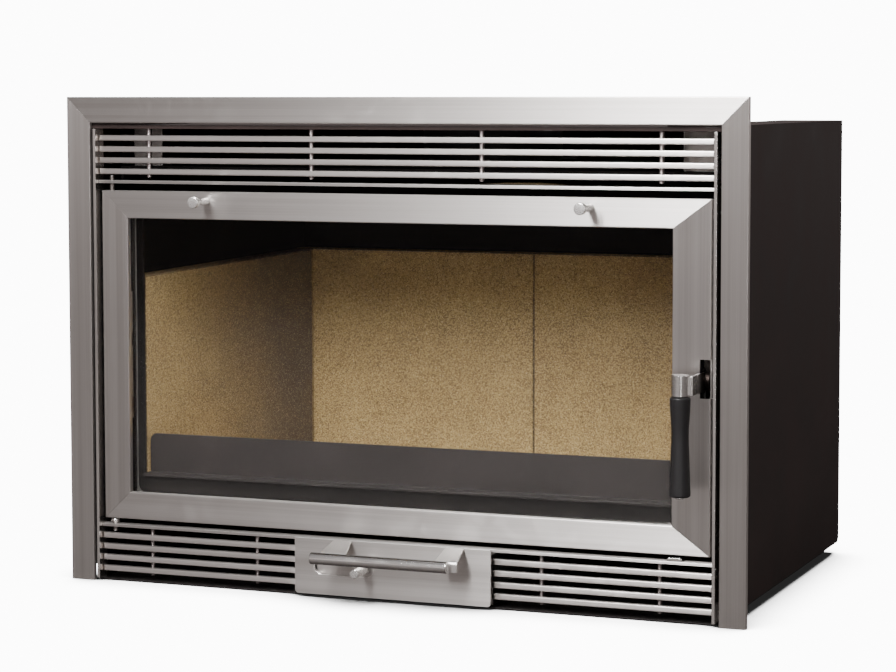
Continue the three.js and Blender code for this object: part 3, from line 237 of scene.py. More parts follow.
# %% Start of a material
def new_material(name):
    material = bpy.data.materials.new(name)
    material.use_nodes = True
    tree = material.node_tree
    shader = tree.nodes["Principled BSDF"]
    place = make(tree, "TexCoord").outputs["Object"]
    edge = make(tree, "Attribute", attribute_name="eased_edge").outputs["Fac"]
    return material, tree, shader, place, edge


def bump(tree, shader, height, strength, distance):
    inputs = {"Height": height, "Strength": strength, "Distance": distance}
    tree.links.new(make(tree, "Bump", inputs).outputs[0], shader.inputs["Normal"])


# %% Brushed steel
STEEL_DARK = (0.47, 0.44, 0.42)
STEEL_LIGHT = (0.59, 0.56, 0.54)
STEEL_EDGE = (0.80, 0.78, 0.76, 1.0)


def toned(colour, tone):
    return (*(min(1.0, part * tone) for part in colour), 1.0)


def across_grain(tree, grain_run):
    """The direction in the surface that lies square to the brushing, which is where the steel smears a light."""
    inputs = {"Vector": grain_run}
    turned = make(tree, "VectorTransform", inputs, vector_type="VECTOR", convert_from="OBJECT", convert_to="WORLD")
    normal = make(tree, "NewGeometry").outputs["Normal"]
    return make(tree, "VectorMath", {0: normal, 1: turned.outputs[0]}, operation="CROSS_PRODUCT").outputs[0]


def brushed_steel(name, per_metre, grain_run, roughness=0.38, smearing=0.85, tone=1.0):
    material, tree, shader, place, edge = new_material(name)
    grain = use_group(tree, GRAIN, {"Place": place, "Per Metre": per_metre})
    marks = use_group(tree, MARKS, {"Place": place, "Size": 7.0})
    worn = use_group(tree, EDGES, {"Place": place, "Edge": edge, "Wear": 0.9})
    light = between(tree, calc(tree, "MULTIPLY_ADD", grain["Fine"], 0.45, grain["Broad"]), 0.45, 1.0)
    colour = mixed(tree, light, toned(STEEL_DARK, tone), toned(STEEL_LIGHT, tone))
    colour = mixed(tree, worn["Worn"], colour, STEEL_EDGE)
    tree.links.new(colour, shader.inputs["Base Color"])
    rough = calc(tree, "MULTIPLY_ADD", grain["Broad"], 0.06, roughness - 0.03)
    rough = calc(tree, "MULTIPLY_ADD", marks["Smudges"], 0.06, rough)
    tree.links.new(rough, shader.inputs["Roughness"])
    shader.inputs["Metallic"].default_value = 1.0
    shader.inputs["Anisotropic"].default_value = smearing
    tree.links.new(across_grain(tree, grain_run), shader.inputs["Tangent"])
    bump(tree, shader, grain["Height"], 0.35, 0.00006)
    return material


# How many grooves there are to a metre in each direction, and which way the brushing runs. The runs lean a little,
# so that no flat face lies exactly square to one.
ALONG_X = (5.0, 1100.0, 1100.0)
ALONG_Z = (1100.0, 1100.0, 5.0)
RUN_X = (1.0, 0.02, 0.03)
RUN_Z = (0.03, 0.02, 1.0)
stainless_across = brushed_steel("stainless_across", ALONG_X, RUN_X)
stainless_upright = brushed_steel("stainless_upright", ALONG_Z, RUN_Z)
stainless_bars = brushed_steel("stainless_bars", ALONG_X, RUN_X, 0.30, 0.7, 1.3)
# A copy of the bars' steel for the lower grilles, whose uprights are painted darker as shade.
stainless_low_bars_shaded = brushed_steel("stainless_low_bars_shaded", ALONG_X, RUN_X, 0.30, 0.7, 1.3)
stainless_strips = brushed_steel("stainless_strips", ALONG_Z, RUN_Z, 0.24, 0.4, 1.35)
print("brushed steel:", stainless_across.name, stainless_upright.name, stainless_bars.name)

# %% [markdown]
# ## Turned, plated and bare steel
# Knobs, bar and end cap are turned and polished, and their fine marks read as soft noise. The clips, brackets and
# runners are plain dark sheet, which is duller. A dark, rougher skin is painted over part of some bright pieces:
# painted shade on the lever's rear in its notch and on the grilles' uprights, which are also a duller steel, and
# painted dark reflections along the bar's top and underside.

# %% Turned and bare steel
def plain_steel(name, dark, light, roughness, spangle, edge_colour=STEEL_EDGE):
    material, tree, shader, place, edge = new_material(name)
    marks = use_group(tree, MARKS, {"Place": place, "Size": 16.0})
    worn = use_group(tree, EDGES, {"Place": place, "Edge": edge, "Wear": 0.8})
    cells = make(tree, "TexVoronoi", {"Vector": place, "Scale": spangle}).outputs["Distance"]
    fine = noise(tree, place, spangle * 6.0, 3.0, 0.65)
    light_share = calc(tree, "MULTIPLY_ADD", cells, 0.5, calc(tree, "MULTIPLY", marks["Clouds"], 0.6), clamp=True)
    colour = mixed(tree, light_share, dark, light)
    colour = mixed(tree, worn["Worn"], colour, edge_colour)
    tree.links.new(colour, shader.inputs["Base Color"])
    rough = calc(tree, "MULTIPLY_ADD", fine, 0.10, roughness - 0.05)
    rough = calc(tree, "MULTIPLY_ADD", marks["Smudges"], 0.08, rough)
    tree.links.new(rough, shader.inputs["Roughness"])
    shader.inputs["Metallic"].default_value = 1.0
    bump(tree, shader, fine, 0.25, 0.00005)
    return material


def paint_shade_skin(tree, shader, share, tint, roughness):
    """Lay a dark, rougher skin over a share of a finished steel: painted shade, and on the bar painted dark
    reflections.
    """
    clean = shader.inputs["Base Color"].links[0].from_socket
    tree.links.new(mixed(tree, share, clean, tint), shader.inputs["Base Color"])
    smooth = shader.inputs["Roughness"].links[0].from_socket
    gain = calc(tree, "MULTIPLY", share, roughness)
    tree.links.new(calc(tree, "ADD", smooth, gain, clamp=True), shader.inputs["Roughness"])


TRIM_DEPTH = 210.925


def depth_mask(tree, start, end):
    """From 0 at one depth behind the trim's front plane to 1 at another, in millimetres."""
    depth = make(tree, "SeparateXYZ", {0: make(tree, "TexCoord").outputs["Object"]}).outputs["Y"]
    return between(tree, depth, (start - TRIM_DEPTH) * MM, (end - TRIM_DEPTH) * MM)


def rod_reflection_mask(tree):
    """Painted dark reflections on a polished rod: two dark bands, its underside and a strip along its top, set by
    which way the surface faces.
    """
    up = make(tree, "SeparateXYZ", {0: make(tree, "NewGeometry").outputs["Normal"]}).outputs["Z"]
    low = between(tree, up, -0.75, -0.05, 1.0, 0.0)
    high = between(tree, up, 0.72, 0.90)
    return calc(tree, "MULTIPLY", calc(tree, "MAXIMUM", low, high), 0.8)


bright_steel = plain_steel("bright_steel", (0.66, 0.64, 0.62, 1.0), (0.84, 0.82, 0.80, 1.0), 0.20, 700.0)
knob_steel = plain_steel("knob_steel", (0.82, 0.80, 0.78, 1.0), (0.92, 0.91, 0.89, 1.0), 0.27, 900.0)
strap_steel = plain_steel("strap_steel", (0.70, 0.68, 0.66, 1.0), (0.82, 0.80, 0.78, 1.0), 0.30, 900.0)
polished_bar = plain_steel("polished_bar", (0.74, 0.72, 0.70, 1.0), (0.86, 0.84, 0.82, 1.0), 0.12, 900.0)
lever_steel = plain_steel("lever_steel", (0.66, 0.64, 0.62, 1.0), (0.84, 0.82, 0.80, 1.0), 0.19, 700.0)
# Colour of the painted dark reflections along the bar.
ROD_REFLECTION_TINT = (0.10, 0.09, 0.085, 1.0)
# Painted shade on the lever's rear inside its notch: this colour, laid from the first depth to the second, in
# millimetres behind the trim's front.
LEVER_SHADE_TINT = (0.025, 0.019, 0.017, 1.0)
LEVER_SHADE_DEPTHS = (-24.0, 4.0)
# The grilles' uprights behind the bars get a dark skin: partly a duller steel and partly painted shade, darker still
# as painted shade on the lower grilles.
UPRIGHT_SHADE_DEPTHS = (10.9, 11.3)
BAR_SHADE_TINTS = ((stainless_bars, 0.42), (stainless_low_bars_shaded, 0.16))
# Painted dark reflections on the bar, and painted shade on the lever's rear and on the grilles' uprights.
for steel, mask, tint, roughness in (
    (polished_bar, rod_reflection_mask, ROD_REFLECTION_TINT, 0.08),
    (lever_steel, lambda tree: depth_mask(tree, *LEVER_SHADE_DEPTHS), LEVER_SHADE_TINT, 0.25),
    *((bars, lambda tree: depth_mask(tree, *UPRIGHT_SHADE_DEPTHS), (t, t * 0.9, t * 0.88, 1.0), 0.1) for bars, t in BAR_SHADE_TINTS),
):
    steel_tree = steel.node_tree
    paint_shade_skin(steel_tree, steel_tree.nodes["Principled BSDF"], mask(steel_tree), tint, roughness)
raw_steel = plain_steel("raw_steel", (0.10, 0.085, 0.075, 1.0), (0.22, 0.20, 0.19, 1.0), 0.45, 120.0)
print("plain steel:", bright_steel.name, raw_steel.name)

# %% [markdown]
# ## Paint and cast iron
# The casing has a matt, brown-black heat paint with a faint sprayed texture. The firebox has a smoother, blacker
# coat of stove paint, and the castings are grey iron under the same paint. The front box and the firebox shell,
# which lie in shade, get a darker copy of the stove paint as painted shade. Where an edge is rubbed, the steel
# below shows as a duller grey.

# %% Painted surfaces
def painted(name, dark, light, roughness, grains, relief, bare, wear, dust=0.12, sheen_level=0.2):
    material, tree, shader, place, edge = new_material(name)
    skin = use_group(tree, SKIN, {"Place": place, "Grains": grains})
    worn = use_group(tree, EDGES, {"Place": place, "Edge": edge, "Wear": wear})
    colour = mixed(tree, between(tree, skin["Mottle"], 0.3, 0.7), dark, light)
    colour = mixed(tree, calc(tree, "MULTIPLY", skin["Dust"], dust), colour, (0.20, 0.19, 0.175, 1.0))
    colour = mixed(tree, worn["Worn"], colour, bare)
    tree.links.new(colour, shader.inputs["Base Color"])
    rough = calc(tree, "MULTIPLY_ADD", skin["Mottle"], 0.16, roughness - 0.08)
    rough = calc(tree, "MULTIPLY_ADD", skin["Dust"], 0.25, rough, clamp=True)
    rough = calc(tree, "MULTIPLY_ADD", worn["Worn"], -0.12, rough)
    tree.links.new(rough, shader.inputs["Roughness"])
    tree.links.new(calc(tree, "MULTIPLY", worn["Worn"], 0.6), shader.inputs["Metallic"])
    shader.inputs["Specular IOR Level"].default_value = sheen_level
    bump(tree, shader, skin["Height"], 0.3, relief)
    return material


casing_paint = painted(
    "casing_paint", (0.019, 0.0112, 0.0100, 1.0), (0.031, 0.0188, 0.0172, 1.0),
    0.56, 900.0, 0.00005, (0.10, 0.09, 0.085, 1.0), 0.35,
)
# A darker copy of the stove paint: painted shade for the front box and the firebox shell.
stove_paint_shaded = painted(
    "stove_paint_shaded", (0.0035, 0.0028, 0.0027, 1.0), (0.0065, 0.0052, 0.0050, 1.0),
    0.62, 1400.0, 0.00003, (0.06, 0.056, 0.053, 1.0), 0.3, 0.06, 0.08,
)
stove_paint = painted(
    "stove_paint", (0.0065, 0.0050, 0.0050, 1.0), (0.0115, 0.0090, 0.0090, 1.0),
    0.52, 1400.0, 0.00003, (0.09, 0.085, 0.08, 1.0), 0.3,
)
cast_iron = painted(
    "cast_iron", (0.016, 0.015, 0.0145, 1.0), (0.045, 0.042, 0.040, 1.0),
    0.58, 380.0, 0.00035, (0.20, 0.19, 0.18, 1.0), 0.55, 0.25, 0.3,
)
print("paint:", casing_paint.name, stove_paint.name, cast_iron.name)

# %% [markdown]
# ## Vermiculite
# The lining is pressed from flakes of exfoliated mica. Close up it is a mosaic of gold, tan and brown flakes
# with tiny pits between them, and a few flakes glint. Voronoi cells at two sizes give the flakes.

# %% Vermiculite flakes
def vermiculite_flakes():
    tree, into, out = new_group(
        "vermiculite_flakes",
        [("Place", "Vector", None), ("Flakes", "Float", 420.0)],
        [("Tone", "Float"), ("Glint", "Float"), ("Height", "Float")],
    )
    big = make(tree, "TexVoronoi", {"Vector": into["Place"], "Scale": into["Flakes"], "Randomness": 1.0})
    small_scale = calc(tree, "MULTIPLY", into["Flakes"], 2.3)
    small = make(tree, "TexVoronoi", {"Vector": into["Place"], "Scale": small_scale, "Randomness": 1.0})
    big_tone = make(tree, "SeparateXYZ", {0: big.outputs["Color"]}).outputs["X"]
    small_tone = make(tree, "SeparateXYZ", {0: small.outputs["Color"]}).outputs["Y"]
    clouds = noise(tree, into["Place"], 22.0, 4.0, 0.6)
    tone = calc(tree, "MULTIPLY_ADD", big_tone, 0.40, calc(tree, "MULTIPLY", small_tone, 0.42))
    tone = calc(tree, "MULTIPLY_ADD", clouds, 0.26, tone)
    glint = between(tree, small_tone, 0.93, 0.99)
    pits = calc(tree, "SUBTRACT", 1.0, between(tree, small.outputs["Distance"], 0.25, 0.75))
    height = calc(tree, "MULTIPLY_ADD", pits, 0.5, calc(tree, "MULTIPLY", big_tone, 0.5))
    tree.links.new(tone, out["Tone"])
    tree.links.new(glint, out["Glint"])
    tree.links.new(height, out["Height"])
    return tree


FLAKES = vermiculite_flakes()


# The colour of the painted shade on the lining.
LINING_SHADE_TINT = (0.095, 0.075, 0.060, 1.0)


def vermiculite_board():
    material, tree, shader, place, edge = new_material("vermiculite")
    flakes = use_group(tree, FLAKES, {"Place": place, "Flakes": 1000.0})
    ramp = make(tree, "ValToRGB", {0: flakes["Tone"]})
    stops = ramp.color_ramp.elements
    stops[0].position, stops[0].color = 0.20, (0.085, 0.050, 0.018, 1.0)
    stops[1].position, stops[1].color = 0.92, (0.75, 0.56, 0.25, 1.0)
    for position, colour in ((0.45, (0.28, 0.185, 0.072, 1.0)), (0.62, (0.45, 0.32, 0.13, 1.0))):
        stop = stops.new(position)
        stop.color = colour
    # Painted shade on the lining: darker and greyer towards the top, and darker towards the rear on the side and
    # floor boards, short of the back boards, with a random drift.
    where = make(tree, "SeparateXYZ", {0: place}).outputs
    high = calc(tree, "MULTIPLY", between(tree, where["Z"], 0.12, 0.33), 0.28)
    inside = calc(tree, "LESS_THAN", where["Y"], 0.185)
    corner_shade = calc(tree, "MULTIPLY", between(tree, where["Y"], -0.13, 0.17), inside)
    reach = calc(tree, "ADD", high, calc(tree, "MULTIPLY", corner_shade, 0.72))
    drift = between(tree, noise(tree, place, 5.0, 3.0, 0.55), 0.1, 0.6, 0.75, 1.1)
    painted_lining_shade = calc(tree, "MINIMUM", calc(tree, "MULTIPLY", reach, drift, clamp=True), 0.85)
    colour = mixed(tree, painted_lining_shade, ramp.outputs["Color"], LINING_SHADE_TINT)
    sooty = calc(tree, "MULTIPLY", edge, 0.8)
    colour = mixed(tree, sooty, colour, (0.045, 0.030, 0.018, 1.0))
    colour = mixed(tree, flakes["Glint"], colour, (0.85, 0.68, 0.38, 1.0))
    tree.links.new(colour, shader.inputs["Base Color"])
    tree.links.new(calc(tree, "MULTIPLY_ADD", flakes["Glint"], -0.45, 0.85), shader.inputs["Roughness"])
    bump(tree, shader, flakes["Height"], 0.6, 0.0005)
    return material


vermiculite = vermiculite_board()
print("lining:", vermiculite.name)

# %% [markdown]
# ## Grip, rope and glass
# The grip is moulded from a hard black resin with a fine matt texture. The rope seal is knitted glass fibre, grey
# from graphite. The pane is a ceramic glass: clear, with only a faint warm tint. Light that goes through it to
# reach the lining is let past by the shadow branch, because the shader alone would block it.

# %% Grip, rope and glass
def moulded_grip():
    material, tree, shader, place, edge = new_material("grip_resin")
    skin = use_group(tree, SKIN, {"Place": place, "Grains": 1800.0})
    marks = use_group(tree, MARKS, {"Place": place, "Size": 30.0})
    colour = mixed(tree, marks["Clouds"], (0.006, 0.0055, 0.006, 1.0), (0.012, 0.011, 0.0115, 1.0))
    tree.links.new(colour, shader.inputs["Base Color"])
    rough = calc(tree, "MULTIPLY_ADD", marks["Smudges"], -0.08, 0.36)
    tree.links.new(calc(tree, "MULTIPLY_ADD", skin["Height"], 0.08, rough), shader.inputs["Roughness"])
    shader.inputs["Specular IOR Level"].default_value = 0.35
    bump(tree, shader, skin["Height"], 0.25, 0.00005)
    return material


def knitted_rope():
    material, tree, shader, place, edge = new_material("rope_fibre")
    hair = noise(tree, place, 2600.0, 3.0, 0.7)
    stain = noise(tree, place, 35.0, 3.0, 0.6)
    colour = mixed(tree, hair, (0.085, 0.082, 0.080, 1.0), (0.21, 0.205, 0.20, 1.0))
    colour = mixed(tree, between(tree, stain, 0.35, 0.75), colour, (0.10, 0.095, 0.09, 1.0))
    tree.links.new(colour, shader.inputs["Base Color"])
    tree.links.new(calc(tree, "MULTIPLY_ADD", hair, 0.15, 0.80), shader.inputs["Roughness"])
    shader.inputs["Sheen Weight"].default_value = 0.25
    bump(tree, shader, hair, 0.6, 0.0003)
    return material


def ceramic_glass():
    material, tree, shader, place, edge = new_material("ceramic_glass")
    film = noise(tree, place, 6.0, 3.0, 0.6, 0.6)
    colour = mixed(tree, film, (0.97, 0.955, 0.93, 1.0), (0.90, 0.885, 0.86, 1.0))
    tree.links.new(colour, shader.inputs["Base Color"])
    tree.links.new(between(tree, film, 0.35, 0.8, 0.0, 0.035), shader.inputs["Roughness"])
    shader.inputs["IOR"].default_value = 1.45
    shader.inputs["Transmission Weight"].default_value = 1.0
    shader.inputs["Specular IOR Level"].default_value = 0.2
    bump(tree, shader, noise(tree, place, 40.0, 2.0, 0.5), 0.08, 0.0001)
    rays = make(tree, "LightPath").outputs["Is Shadow Ray"]
    clear = make(tree, "BsdfTransparent", {"Color": (0.93, 0.92, 0.90, 1.0)}).outputs[0]
    either = make(tree, "MixShader", {0: rays, 1: shader.outputs[0], 2: clear})
    tree.links.new(either.outputs[0], tree.nodes["Material Output"].inputs["Surface"])
    return material


grip_resin = moulded_grip()
rope_fibre = knitted_rope()
glass = ceramic_glass()
print("others:", grip_resin.name, rope_fibre.name, glass.name)

# %% [markdown]
# ## From knife edges to real edges
# A solid from CAD has perfectly sharp edges, and real sheet never has: the shears and the press leave a small
# radius that catches light. `eased` copies a solid, merges its vertices, joins coplanar triangles into whole
# faces, and bevels every edge that is sharper than a limit. The new strips are marked in a face attribute, so a
# material can polish them. A weighted-normal modifier keeps the big faces flat.

# %% Helpers for pieces
SHARP_ANGLE = math.radians(28.0)
WELD = 2e-6


def merged_copy(node):
    bm = bmesh.new()
    bm.from_mesh(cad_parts[node].data)
    bmesh.ops.remove_doubles(bm, verts=bm.verts[:], dist=WELD)
    bmesh.ops.dissolve_limit(bm, angle_limit=math.radians(0.6), verts=bm.verts[:], edges=bm.edges[:])
    return bm


def bevel_sharp(bm, width, segments):
    marked = bm.faces.layers.float.get("eased_edge") or bm.faces.layers.float.new("eased_edge")
    sharp = [e for e in bm.edges if len(e.link_faces) == 2 and e.calc_face_angle() > SHARP_ANGLE]
    made = bmesh.ops.bevel(
        bm, geom=sharp, offset=width, offset_type="OFFSET", segments=segments, profile=0.5,
        affect="EDGES", clamp_overlap=True, material=-1,
    )
    for face in made["faces"]:
        face[marked] = 1.0
    return len(made["faces"])


def on_miter(edge):
    """An edge of a cut that runs slantwise across the front, where two sheets meet."""
    return any(abs(f.normal.x) > 0.3 and abs(f.normal.z) > 0.3 for f in edge.link_faces)


def bevel_sheet(bm, fold, width, segments):
    """Round the folds along the front plane with their bend radius, then ease the cut edges, not the miters."""
    marked = bm.faces.layers.float.get("eased_edge") or bm.faces.layers.float.new("eased_edge")
    front = min(v.co.y for v in bm.verts)
    folds = [
        e for e in bm.edges
        if len(e.link_faces) == 2 and e.calc_face_angle() > SHARP_ANGLE and not on_miter(e)
        and all(abs(v.co.y - front) < WELD for v in e.verts) and e.calc_length() > 0.1
    ]
    bmesh.ops.bevel(
        bm, geom=folds, offset=fold, offset_type="OFFSET", segments=segments, profile=0.5,
        affect="EDGES", clamp_overlap=True, material=-1,
    )
    cuts = [
        e for e in bm.edges
        if len(e.link_faces) == 2 and e.calc_face_angle() > SHARP_ANGLE and not on_miter(e)
        and e.calc_length() > 4 * width
    ]
    made = bmesh.ops.bevel(
        bm, geom=cuts, offset=width, offset_type="OFFSET", segments=1, profile=0.5,
        affect="EDGES", clamp_overlap=True, material=-1,
    )
    for face in made["faces"]:
        face[marked] = 0.6
    return len(folds), len(cuts)


def finish_piece(name, bm, material, body, nodes=()):
    for face in bm.faces:
        face.smooth = True
    mesh = bpy.data.meshes.new(name)
    bm.to_mesh(mesh)
    bm.free()
    mesh.set_sharp_from_angle(angle=SHARP_ANGLE)
    mesh.materials.append(material)
    piece = bpy.data.objects.new(name, mesh)
    bpy.context.scene.collection.objects.link(piece)
    steady = piece.modifiers.new("steady_normals", "WEIGHTED_NORMAL")
    steady.keep_sharp = True
    if nodes:
        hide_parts(*nodes)
    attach(piece, body)
    return piece


def eased(node, material, body, width=0.4, segments=2):
    bm = merged_copy(node)
    strips = bevel_sharp(bm, width * MM, segments)
    piece = finish_piece("eased_" + node, bm, material, body, [node])
    print(f"{node}: {strips} strips, {len(piece.data.polygons)} faces")
    return piece


def stretched(node, material, slot, body, axis, before, by, width=0.5, segments=3):
    """An eased copy whose end on one side of a place is moved outwards by some millimetres along one axis."""
    bm = merged_copy(node)
    for vertex in bm.verts:
        if (vertex.co[axis] < before) == (by < 0):
            vertex.co[axis] += by * MM
    strips = bevel_sharp(bm, width * MM, segments)
    piece = finish_piece("fitted_" + node, bm, material, body, [node])
    print(f"{node}: moved {by} mm, {strips} strips")
    return piece


def folded_sheet(node, material, body, fold=1.2, width=0.2):
    bm = merged_copy(node)
    folds, cuts = bevel_sheet(bm, fold * MM, width * MM, 4)
    piece = finish_piece("folded_" + node, bm, material, body, [node])
    print(f"{node}: {folds} folds, {cuts} cut edges, {len(piece.data.polygons)} faces")
    return piece


# %% [markdown]
# ## The steel trim and the surround
# The trim's top member is brushed from side to side and its legs upwards, as sheet is when it is cut to length
# and mitred. The same goes for the door's four fascia strips. The surround strips reach further forward than their
# solids, and the lower bars run on behind the drawer's plate, as the photograph shows.

# %% Trim, surround and grilles
BAR_TAIL = 9.5
BAR_INNER_END = 118 * MM
STRIP_REACH = 6.5
STRIP_SPLIT = -200 * MM
for node, material in (
    ("trim_top", stainless_across), ("trim_left", stainless_upright), ("trim_right", stainless_upright),
):
    folded_sheet(node, material, "insert")
for node, material in (
    ("upper_rail", stainless_across), ("lower_rail", stainless_across),
    ("upper_grille", stainless_bars),
):
    eased(node, material, "insert", 0.3)
for node in ("surround_left", "surround_right"):
    stretched(node, stainless_strips, "stainless", "insert", Y_AXIS, STRIP_SPLIT, -STRIP_REACH, 0.3, 2)
# The lower grilles take the copy with darker painted shade on their uprights.
stretched("lower_grille_left", stainless_low_bars_shaded, "stainless", "insert", X_AXIS, -BAR_INNER_END, BAR_TAIL, 0.3, 2)
stretched("lower_grille_right", stainless_low_bars_shaded, "stainless", "insert", X_AXIS, BAR_INNER_END, -BAR_TAIL, 0.3, 2)

# %% [markdown]
# ## Casing and firebox
# Thicker plate gets a wider ease. These pieces are mostly in shade, but their edges still draw the thin lines
# by which the eye reads them.

# %% Casing and firebox
for node in ("casing_left", "casing_right", "casing_top", "casing_back"):
    eased(node, casing_paint, "insert", 0.4)
for node, width in (("base_pan", 0.4), ("log_guard", 0.7)):
    eased(node, stove_paint, "insert", width)
# The front box and the firebox shell take the darker copy of the stove paint, as painted shade.
for node, width in (("front_box", 0.6), ("firebox_shell", 0.8)):
    eased(node, stove_paint_shaded, "insert", width)
for node in ("flue_collar", "grate"):
    eased(node, cast_iron, "insert", 0.8, 3)
for node in (
    "plenum_bracket_left", "plenum_bracket_right", "latch_catch", "drawer_runner_left", "drawer_runner_right",
):
    eased(node, raw_steel, "insert", 0.3)
for node in ("door_rest_pad", "hinge_bearing"):
    eased(node, bright_steel, "insert", 0.3)

# %% [markdown]
# ## The lining
# Pressed boards have soft, slightly crumbled arrises, so they get a wide rounded ease in three steps.

# %% Vermiculite boards
for node in ("brick_left", "brick_right", "brick_back_left", "brick_back_right", "brick_floor", "baffle"):
    eased(node, vermiculite, "insert", 1.2, 3)

# %% [markdown]
# ## The door
# The four fascia strips wrap a painted core. Behind the glass sit its clips and the rope.

# %% Door
for node, material in (
    ("fascia_top", stainless_across), ("fascia_bottom", stainless_across),
    ("fascia_hinge", stainless_upright), ("fascia_latch", stainless_upright),
):
    folded_sheet(node, material, "door")
eased("door_core", stove_paint, "door", 0.4)
eased("door_glass", glass, "door", 0.6)
for node in ("glass_clip_top", "glass_clip_bottom", "glass_clip_hinge", "glass_clip_latch"):
    eased(node, raw_steel, "door", 0.3)
for node in ("hinge_pin_top", "hinge_pin_bottom", "latch_pivot_pin"):
    eased(node, raw_steel, "door", 0.4)
eased("door_rope", rope_fibre, "door", 0.8)

# %% [markdown]
# ## Bar handle and knobs
# The photograph shows the bar and its two bent straps a few millimetres off the middle of the drawer, and the bar
# further from the plate than in the solids. The bar is spun again with turned end faces, and each strap is swept
# along the bend of a steel strip that widens. The window-air knobs are spun with a mushroom head on a neck. All
# measures here are in millimetres.

# %% Bar handle and knobs
BAR_ENDS = (-77.0, 76.5)
BAR_PLACE = (-245.1, 47.5)
BAR_RADIUS = 6.2
BAR_SOFT = 0.9
BAR_DISH = 0.35
STRAP_MIDDLE = {"left": -54.8, "right": 71.5}
STRAP_HALF = {"left": (10.0, 14.0), "right": (10.0, 12.0)}
STRAP_FALL = 8.0
STRAP_SHEET = 2.0
STRAP_BEND = 4.0
STRAP_STEPS = 8
KNOB_REACH = {"left": 4.2, "right": 6.4}
KNOB_HEAD = (
    (0.0, 0.0), (0.0, 5.3), (0.1, 5.7), (0.4, 6.05), (0.8, 6.2), (5.0, 6.2), (5.5, 6.0), (5.8, 5.5), (5.8, 3.9),
)
KNOB_TAIL = ((-205.4, 3.9), (-205.4, 3.0), (-184.9, 3.0), (-184.9, 4.4))
PLUG_RADIUS = 4.4
AIR_KNOB_REACH = 6.0
AIR_KNOB_SPLIT = 10.0


def spun(bm, profile, centre, axis, turns=48):
    """Spin [along, radius] points round an axis through the centre, with both ends of the profile on the axis."""
    along = Vector(axis).normalized()
    across = along.orthogonal().normalized()
    verts = [bm.verts.new(Vector(centre) + along * a + across * r) for a, r in profile]
    edges = [bm.edges.new(pair) for pair in zip(verts, verts[1:])]
    bmesh.ops.spin(
        bm, geom=verts + edges, cent=centre, axis=along, angle=2 * math.pi, steps=turns, use_merge=True,
        use_duplicate=False,
    )
    bmesh.ops.remove_doubles(bm, verts=bm.verts[:], dist=WELD)
    bmesh.ops.recalc_face_normals(bm, faces=bm.faces[:])


def handle_bar():
    radius = BAR_RADIUS * MM
    left, right = (end * MM for end in BAR_ENDS)
    depth, height = (part * MM for part in BAR_PLACE)
    half = (right - left) / 2
    soft, dish = BAR_SOFT * MM, BAR_DISH * MM
    end = [(0.0, 0.0), (0.0, radius * 0.55), (dish, radius * 0.62), (dish, radius - 2 * soft)]
    turns = (0.0, 0.5, 1.05, math.pi / 2)
    corner = [(dish + soft * (1 - math.cos(t)), radius - soft * (1 - math.sin(t))) for t in turns]
    near = [(-half + a, r) for a, r in end + corner]
    far = [(-a, r) for a, r in reversed(near)]
    bm = bmesh.new()
    spun(bm, near + far, ((left + right) / 2, depth, height), (1.0, 0.0, 0.0), 64)
    finish_piece("bar_handle", bm, polished_bar, "drawer", ["drawer_handle"])


def handle_strap(side):
    """A ribbon that widens from the drawer plate to the bar and bends down behind it."""
    node = "drawer_strap_" + side
    low, high = (Vector(corner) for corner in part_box(node))
    middle = STRAP_MIDDLE[side] * MM
    narrow, wide = STRAP_HALF[side]
    thick, bend = STRAP_SHEET * MM, STRAP_BEND * MM
    tail = (BAR_PLACE[0] + BAR_RADIUS) * MM + thick / 2
    top = high.z - thick / 2
    knee = Vector((tail + bend, top - STRAP_FALL * MM - bend))
    path = [Vector((high.y, top)), Vector((high.y - 3 * MM, top - 0.5 * MM))]
    turns = [math.pi / 2 * (1 + step / STRAP_STEPS) for step in range(STRAP_STEPS + 1)]
    path += [knee + bend * Vector((math.cos(t), math.sin(t))) for t in turns]
    path += [Vector((tail, low.z))]
    bm = bmesh.new()
    rings = []
    for i, point in enumerate(path):
        before, after = path[max(i - 1, 0)], path[min(i + 1, len(path) - 1)]
        run = (after - before).normalized()
        out = Vector((-run.y, run.x)) * thick / 2
        share = min(1.0, (high.y - point.x) / (high.y - knee.x))
        half = (narrow + (wide - narrow) * share) * MM
        left, right = middle - half, middle + half
        ring = [(left, point + out), (right, point + out), (right, point - out), (left, point - out)]
        rings.append([bm.verts.new((x, q.x, q.y)) for x, q in ring])
    for a, b in zip(rings, rings[1:]):
        for i in range(4):
            bm.faces.new((a[i], a[(i + 1) % 4], b[(i + 1) % 4], b[i]))
    bm.faces.new(rings[0])
    bm.faces.new(reversed(rings[-1]))
    bmesh.ops.recalc_face_normals(bm, faces=bm.faces[:])
    bevel_sharp(bm, 0.3 * MM, 2)
    finish_piece("bent_strap_" + side, bm, strap_steel, "drawer", [node])


def valve_knob(side):
    """A mushroom head on a slimmer neck in front of the door, with its spindle and plug behind."""
    node = "air_valve_" + side
    low, high = (Vector(corner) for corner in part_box(node))
    front = low.y - KNOB_REACH[side] * MM
    profile = [(front + a * MM, r * MM) for a, r in KNOB_HEAD]
    profile += [(y * MM, r * MM) for y, r in KNOB_TAIL]
    profile += [(high.y, PLUG_RADIUS * MM), (high.y, 0.0)]
    bm = bmesh.new()
    centre = ((low.x + high.x) / 2, 0.0, (low.z + high.z) / 2)
    spun(bm, profile, centre, (0.0, 1.0, 0.0), 48)
    finish_piece("knob_" + node, bm, knob_steel, "valve_" + side, [node])


